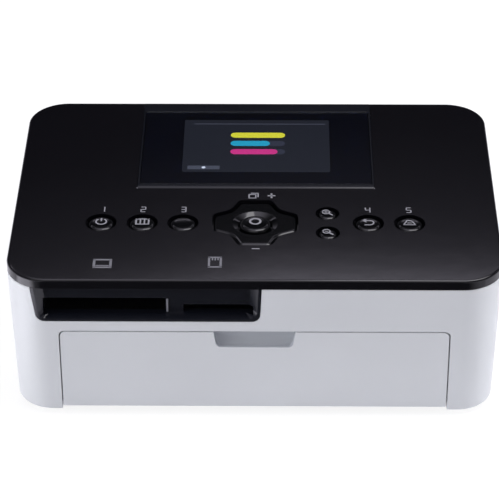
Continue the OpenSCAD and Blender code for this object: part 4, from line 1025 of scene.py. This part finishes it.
def strokes(name, outlines, place, z, body, material=sign_ink, size=1.0):
    """Ink strokes about a point, pressed onto the surface at height z."""
    data = bmesh.new()
    for outline in outlines:
        flat = [(place[0] + x * size, place[1] + y * size) for x, y in outline]
        area = sum(p[0] * q[1] - q[0] * p[1] for p, q in zip(flat, flat[1:] + flat[:1]))
        if area < 0:
            flat.reverse()
        add_rings(data, [at_height(flat, z - 0.05), at_height(flat, z + INK_T)])
    solid = new_solid(name, data)
    if body != "printer":
        lean(solid, place[1] - SIGN_BACK)
    return ready(solid, body, [], material)


def frame_of(half_x, half_y, width):
    """Four bars round a rectangle."""
    x, y = half_x - width / 2, half_y - width / 2
    return [bar((-half_x, y), (half_x, y), width), bar((-half_x, -y), (half_x, -y), width),
            bar((-x, -y), (-x, y), width), bar((x, -y), (x, y), width)]


# %% Signs on the keys
KEY_INK_Z = KEY_TOP - 0.2
# both magnifiers have a minus in the ring, and the upright stroke makes a plus of one
minus = bar((-1.15, 0.4), (0.15, 0.4), 0.3)
magnifier = hoop(-0.5, 0.4, 1.3, 0.5) + [bar((0.5, -0.6), (2.0, -1.9), 0.6), minus]
SIGNS = {
    "power_key": [bow(0, -0.1, 1.9, 125, 415, 0.55), bar((0, 0.2), (0, 2.3), 0.55)],
    "menu_key": frame_of(2.6, 2.1, 0.6) + [bar((x, -1.6), (x, 1.6), 0.5) for x in (-0.75, 0.75)],
    "back_key": [bow(0.5, -0.3, 1.5, -90, 90, 0.5), bar((-1.8, 1.2), (0.6, 1.2), 0.5),
                 bar((-1.4, -1.8), (0.6, -1.8), 0.5), bar((-1.9, 1.2), (-0.6, 2.3), 0.5),
                 bar((-1.9, 1.2), (-0.6, 0.1), 0.5)],
    "print_key": [bar((-2.2, -1.7), (2.2, -1.7), 0.45), bar((-2.2, -1.7), (-0.7, 1.5), 0.45),
                  bar((2.2, -1.7), (0.9, 0.9), 0.45), bar((-0.7, 1.5), (0.9, 0.9), 0.45),
                  bar((-0.9, -0.5), (0.8, -0.5), 0.4)],
    "zoom_in_key": magnifier + [bar((-0.5, -0.25), (-0.5, 1.05), 0.3)],
    "zoom_out_key": magnifier,
}
for key, outlines in SIGNS.items():
    strokes(key + "_sign", outlines, (KEY_AT[key][0], KEY_AT[key][1] + SIGN_BACK), KEY_INK_Z, key)
strokes("centre_sign", hoop(0, 0, 1.9, 0.75), (PAD_AT[0], PAD_AT[1] + SIGN_BACK), KEY_INK_Z,
        "centre_key")

# %% Numbers and marks on the top
SEGMENTS = {"a": ((-1, 2), (1, 2)), "b": ((1, 2), (1, 0)), "c": ((1, 0), (1, -2)),
            "d": ((-1, -2), (1, -2)), "e": ((-1, 0), (-1, -2)), "f": ((-1, 2), (-1, 0)),
            "g": ((-1, 0), (1, 0))}
DIGITS = {"1": "bc", "2": "abged", "3": "abgcd", "4": "fgbc", "5": "afgcd"}


def digit(figure):
    """A plain figure of straight strokes."""
    return [bar(*SEGMENTS[s], 0.5) for s in DIGITS[figure]]


def on_top(name, outlines, place, material=sign_ink, size=1.0):
    """A sign on the black top."""
    return strokes(name, outlines, place, TOP_Z, "printer", material, size)


LABEL_Y, LABEL_SIZE = -16.0, 0.82
for figure, key in zip("12345", ("power_key", "menu_key", "edit_key", "back_key", "print_key")):
    on_top("number_" + figure, digit(figure), (KEY_AT[key][0], LABEL_Y), size=LABEL_SIZE)
# each mark has its strokes, its place on the top and its ink
MARKS = {
    "more_mark": ([bar((-1.4, 0), (1.4, 0), 0.7), bar((0, -1.6), (0, 1.6), 0.7)],
                  (5.9, -6.2), sign_ink),
    "sheets_mark": (frame_of(1.5, 1.5, 0.5) + [bar((-0.6, 2.1), (2.1, 2.1), 0.5),
                                               bar((2.1, 2.35), (2.1, -0.6), 0.5)],
                    (-1.2, -6.6), sign_ink),
    "less_mark": ([bar((-1.4, 0), (1.4, 0), 0.6)], (0.3, -42.3), sign_ink),
    "large_card_mark": (frame_of(3.4, 2.9, 0.9) + [bar((-2.4, -1.3), (2.4, -1.3), 0.5)],
                        (-54.4, -52.3), dim_ink),
    "small_card_mark": (frame_of(2.5, 3.5, 0.8)
                        + [bar((x, 1.2), (x, 2.6), 0.5) for x in (-0.9, 0.1, 1.1)],
                        (-14.2, -51.2), dim_ink),
}
for name, (outlines, place, ink) in MARKS.items():
    on_top(name, outlines, place, ink)

# %% [markdown]
# ## The works
# The pieces inside keep their solids and get the finish that their real material has. The list
# goes by the record's material slots, so each piece is dressed by what it is made of.

# %% Finishes for the solids that show
BY_SLOT = {
    "white_shell": white_abs, "base_plastic": grey_abs, "black_gloss": piano_black,
    "lid_plastic": lid_black, "bezel_plastic": bezel_black_painted_sheen, "key_plastic": key_black,
    "screen_window": window_acrylic, "display": display_ground, "pin_steel": pin_ground,
    "sheet_steel": sheet_zinc, "socket_steel": socket_tinned, "roller_steel": roller_knurled,
    "motor_steel": motor_can, "switch_metal": switch_tin, "circuit_board": board_green,
    "bay_plastic": bay_grey, "gear_plastic": gear_white, "bush_plastic": bush_tan,
    "roller_rubber": roller_rubber, "cartridge_plastic": cartridge_grey,
    "spool_plastic": spool_dark, "ribbon": ribbon_dye, "sink_aluminium": sink_extruded,
    "head_ceramic": ceramic, "inlet_plastic": inlet_black, "foot_rubber": foot_rubber,
}
slot_of = {row["node"]: row["material_slot"] for row in frame["record"]["subparts"]}
for name, solid in frame["nodes"].items():
    for slot in solid.material_slots:
        slot.material = BY_SLOT[slot_of[name]]
print("dressed", len(slot_of), "solids")

# %% [markdown]
# ## Camera
# The photograph's view was worked out from the body's corners: a long lens, almost a metre away,
# looking down at 33 degrees with the printer turned by less than a degree.

# %% Camera
CAMERA_AIM, CAMERA_DISTANCE = Vector((-2.5, 3.5, 30.2)), 955.6
FOCAL_SHARE = 2499.4 / 499    # focal length over the picture's width
SENSOR_MM = 36.0


def photo_camera():
    """The camera that looks at the printer as the photograph does."""
    turn, tip, roll = (math.radians(angle) for angle in (0.73, 33.15, -0.21))
    back = Vector((math.sin(turn) * math.cos(tip), -math.cos(turn) * math.cos(tip),
                   math.sin(tip)))
    right = (-back).cross(Vector((0, 0, 1))).normalized()
    up = right.cross(-back)
    right, up = (right * math.cos(roll) + up * math.sin(roll),
                 up * math.cos(roll) - right * math.sin(roll))
    lens = bpy.data.cameras.new("photo_camera")
    lens.sensor_width, lens.lens = SENSOR_MM, SENSOR_MM * FOCAL_SHARE
    lens.clip_start, lens.clip_end = 0.05, 20
    camera = bpy.data.objects.new("photo_camera", lens)
    bpy.context.scene.collection.objects.link(camera)
    camera.matrix_world = (Matrix.Translation((CAMERA_AIM + back * CAMERA_DISTANCE) * MM)
                           @ Matrix((right, up, back)).transposed().to_4x4())
    bpy.context.scene.camera = camera
    print(f"camera: lens {lens.lens:.1f} mm")


photo_camera()

# %% [markdown]
# ## Floor and light
# The floor is a white sheet. Camera rays see three quarters of it as pure white, and the rest of
# its brightness is real, so the printer keeps its soft shadow. The world is a studio that shows
# mainly in the polished top: mostly dark, with a narrow strip of light behind the printer and a
# bright sheet overhead.

# %% Floor
FLOOR_MM = 4000
data = bmesh.new()
bmesh.ops.create_grid(data, x_segments=1, y_segments=1, size=FLOOR_MM)
floor = new_solid("floor", data)
paper, tree, shader = new_finish("floor_paper", **{"Roughness": 0.9,
                                                   "Base Color": linear("#F4F4F6")})
path = add_node(tree, "ShaderNodeLightPath")
share = add_node(tree, "ShaderNodeMath", settings={"operation": "MULTIPLY"}, values={1: 0.75},
                 links={0: path.outputs["Is Camera Ray"]})
glow = add_node(tree, "ShaderNodeEmission", values={"Color": (1, 1, 1, 1), "Strength": 1.15})
seen = add_node(tree, "ShaderNodeMixShader",
                links={0: share.outputs["Value"], 1: shader.outputs["BSDF"],
                       2: glow.outputs["Emission"]})
# in reflections the sheet is dark in front and behind, as under black flags, and pale close to the
# printer and to its two sides; a brighter card lies by the front left corner; places in metres
place = add_node(tree, "ShaderNodeTexCoord")
across = add_node(tree, "ShaderNodeSeparateXYZ", links={"Vector": place.outputs["Object"]})
off_x, off_y = (add_node(tree, "ShaderNodeMath", settings={"operation": "ABSOLUTE"},
                         links={0: across.outputs[axis]}) for axis in "XY")
sides = add_node(tree, "ShaderNodeMapRange",
                 values={"From Min": 0.105, "From Max": 0.15, "To Min": 0.07, "To Max": 0.9},
                 links={"Value": off_x.outputs["Value"]})
close = add_node(tree, "ShaderNodeMapRange",
                 values={"From Min": 0.09, "From Max": 0.112, "To Min": 1.3, "To Max": 0.07},
                 links={"Value": off_y.outputs["Value"]})
away = add_node(tree, "ShaderNodeVectorMath", settings={"operation": "DISTANCE"},
                values={1: (-0.152, -0.085, 0)}, links={0: place.outputs["Object"]})
card = add_node(tree, "ShaderNodeMapRange",
                values={"From Min": 0.03, "From Max": 0.055, "To Min": 4.0, "To Max": 0.0},
                links={"Value": away.outputs["Value"]})
paler = add_node(tree, "ShaderNodeMath", settings={"operation": "MAXIMUM"},
                 links={0: sides.outputs["Result"], 1: close.outputs["Result"]})
palest = add_node(tree, "ShaderNodeMath", settings={"operation": "MAXIMUM"},
                  links={0: paler.outputs["Value"], 1: card.outputs["Result"]})
mirrored = add_node(tree, "ShaderNodeEmission", values={"Color": linear("#E8E6F2")},
                    links={"Strength": palest.outputs["Value"]})
both = add_node(tree, "ShaderNodeMixShader",
                links={0: path.outputs["Is Glossy Ray"], 1: seen.outputs["Shader"],
                       2: mirrored.outputs["Emission"]})
tree.links.new(both.outputs["Shader"], tree.nodes["Material Output"].inputs["Surface"])
floor.data.materials.append(paper)
print("floor laid")

# %% Studio world
world = bpy.data.worlds.new("studio")
bpy.context.scene.world = world
world.use_nodes = True
tree = world.node_tree
tree.nodes.clear()
sky = add_node(tree, "ShaderNodeTexCoord")
# the height above the horizon, lowered by up to 0.14 towards the left, so that the left is darker
way = add_node(tree, "ShaderNodeSeparateXYZ", links={"Vector": sky.outputs["Generated"]})
left = add_node(tree, "ShaderNodeMath", settings={"operation": "MINIMUM"}, values={1: 0.0},
                links={0: way.outputs["X"]})
height = add_node(tree, "ShaderNodeMath", settings={"operation": "MULTIPLY_ADD"},
                  values={1: 0.14}, links={0: left.outputs["Value"], 2: way.outputs["Z"]})
ramp = add_node(tree, "ShaderNodeValToRGB", links={"Fac": height.outputs["Value"]})
# heights are sines of the elevation: a dim horizon, dark up to 33 degrees, a narrow strip of light
# at 34, dark again up to 44, and then the overhead sheet
HEIGHTS = ((0.0, 0.35), (0.25, 0.10), (0.45, 0.02), (0.505, 0.03), (0.535, 0.10), (0.548, 0.14),
           (0.5535, 0.27), (0.557, 0.85), (0.563, 2.6), (0.573, 1.6), (0.60, 0.20), (0.70, 0.10),
           (0.80, 0.5), (0.90, 1.2), (0.97, 1.7), (1.0, 1.8))
band = ramp.color_ramp
while len(band.elements) < len(HEIGHTS):
    band.elements.new(0.5)
VIOLET_WHITE = (0.98, 0.94, 1.10)
for stop, (level, light) in zip(band.elements, HEIGHTS):
    stop.position, stop.color = level, [light * part for part in VIOLET_WHITE] + [1]
# mirrored, the studio is brighter than the light that it throws
path = add_node(tree, "ShaderNodeLightPath")
power = add_node(tree, "ShaderNodeMapRange", values={"To Min": 0.5, "To Max": 0.9},
                 links={"Value": path.outputs["Is Glossy Ray"]})
sheet = add_node(tree, "ShaderNodeBackground",
                 links={"Color": ramp.outputs["Color"], "Strength": power.outputs["Result"]})
add_node(tree, "ShaderNodeOutputWorld", links={"Surface": sheet.outputs["Background"]})
print("studio of", len(band.elements), "levels")


# %% Lamps
LAMP_AIM = Vector((0, 0, 0.03))


def soft_box(name, place, size, watts):
    """A rectangular lamp in a soft box, aimed at the printer; places in metres."""
    lamp = bpy.data.lights.new(name, "AREA")
    lamp.shape, lamp.size, lamp.size_y = "RECTANGLE", *size
    lamp.energy = watts
    holder = bpy.data.objects.new(name, lamp)
    bpy.context.scene.collection.objects.link(holder)
    holder.location = place
    holder.rotation_euler = (LAMP_AIM - Vector(place)).to_track_quat("-Z", "Y").to_euler()
    print(f"{name} lamp: {watts} W")
    return holder


soft_box("overhead", (0.6, -0.05, 1.5), (0.8, 1.2), 10.6)
soft_box("front", (-0.4, -1.4, 1.4), (2.0, 1.0), 3.3)
# the side and back lamps light the walls, but the glossy top doesn't mirror them
for name, place, watts in (("left", (-1.5, -0.45, 0.4), 13.6), ("right", (1.5, -0.05, 0.4), 9),
                           ("back", (0.3, 1.5, 0.6), 5)):
    lamp = soft_box(name, place, (1.0, 0.8), watts)
    lamp.visible_glossy = lamp.visible_transmission = False
bpy.context.scene.view_settings.view_transform = "Standard"
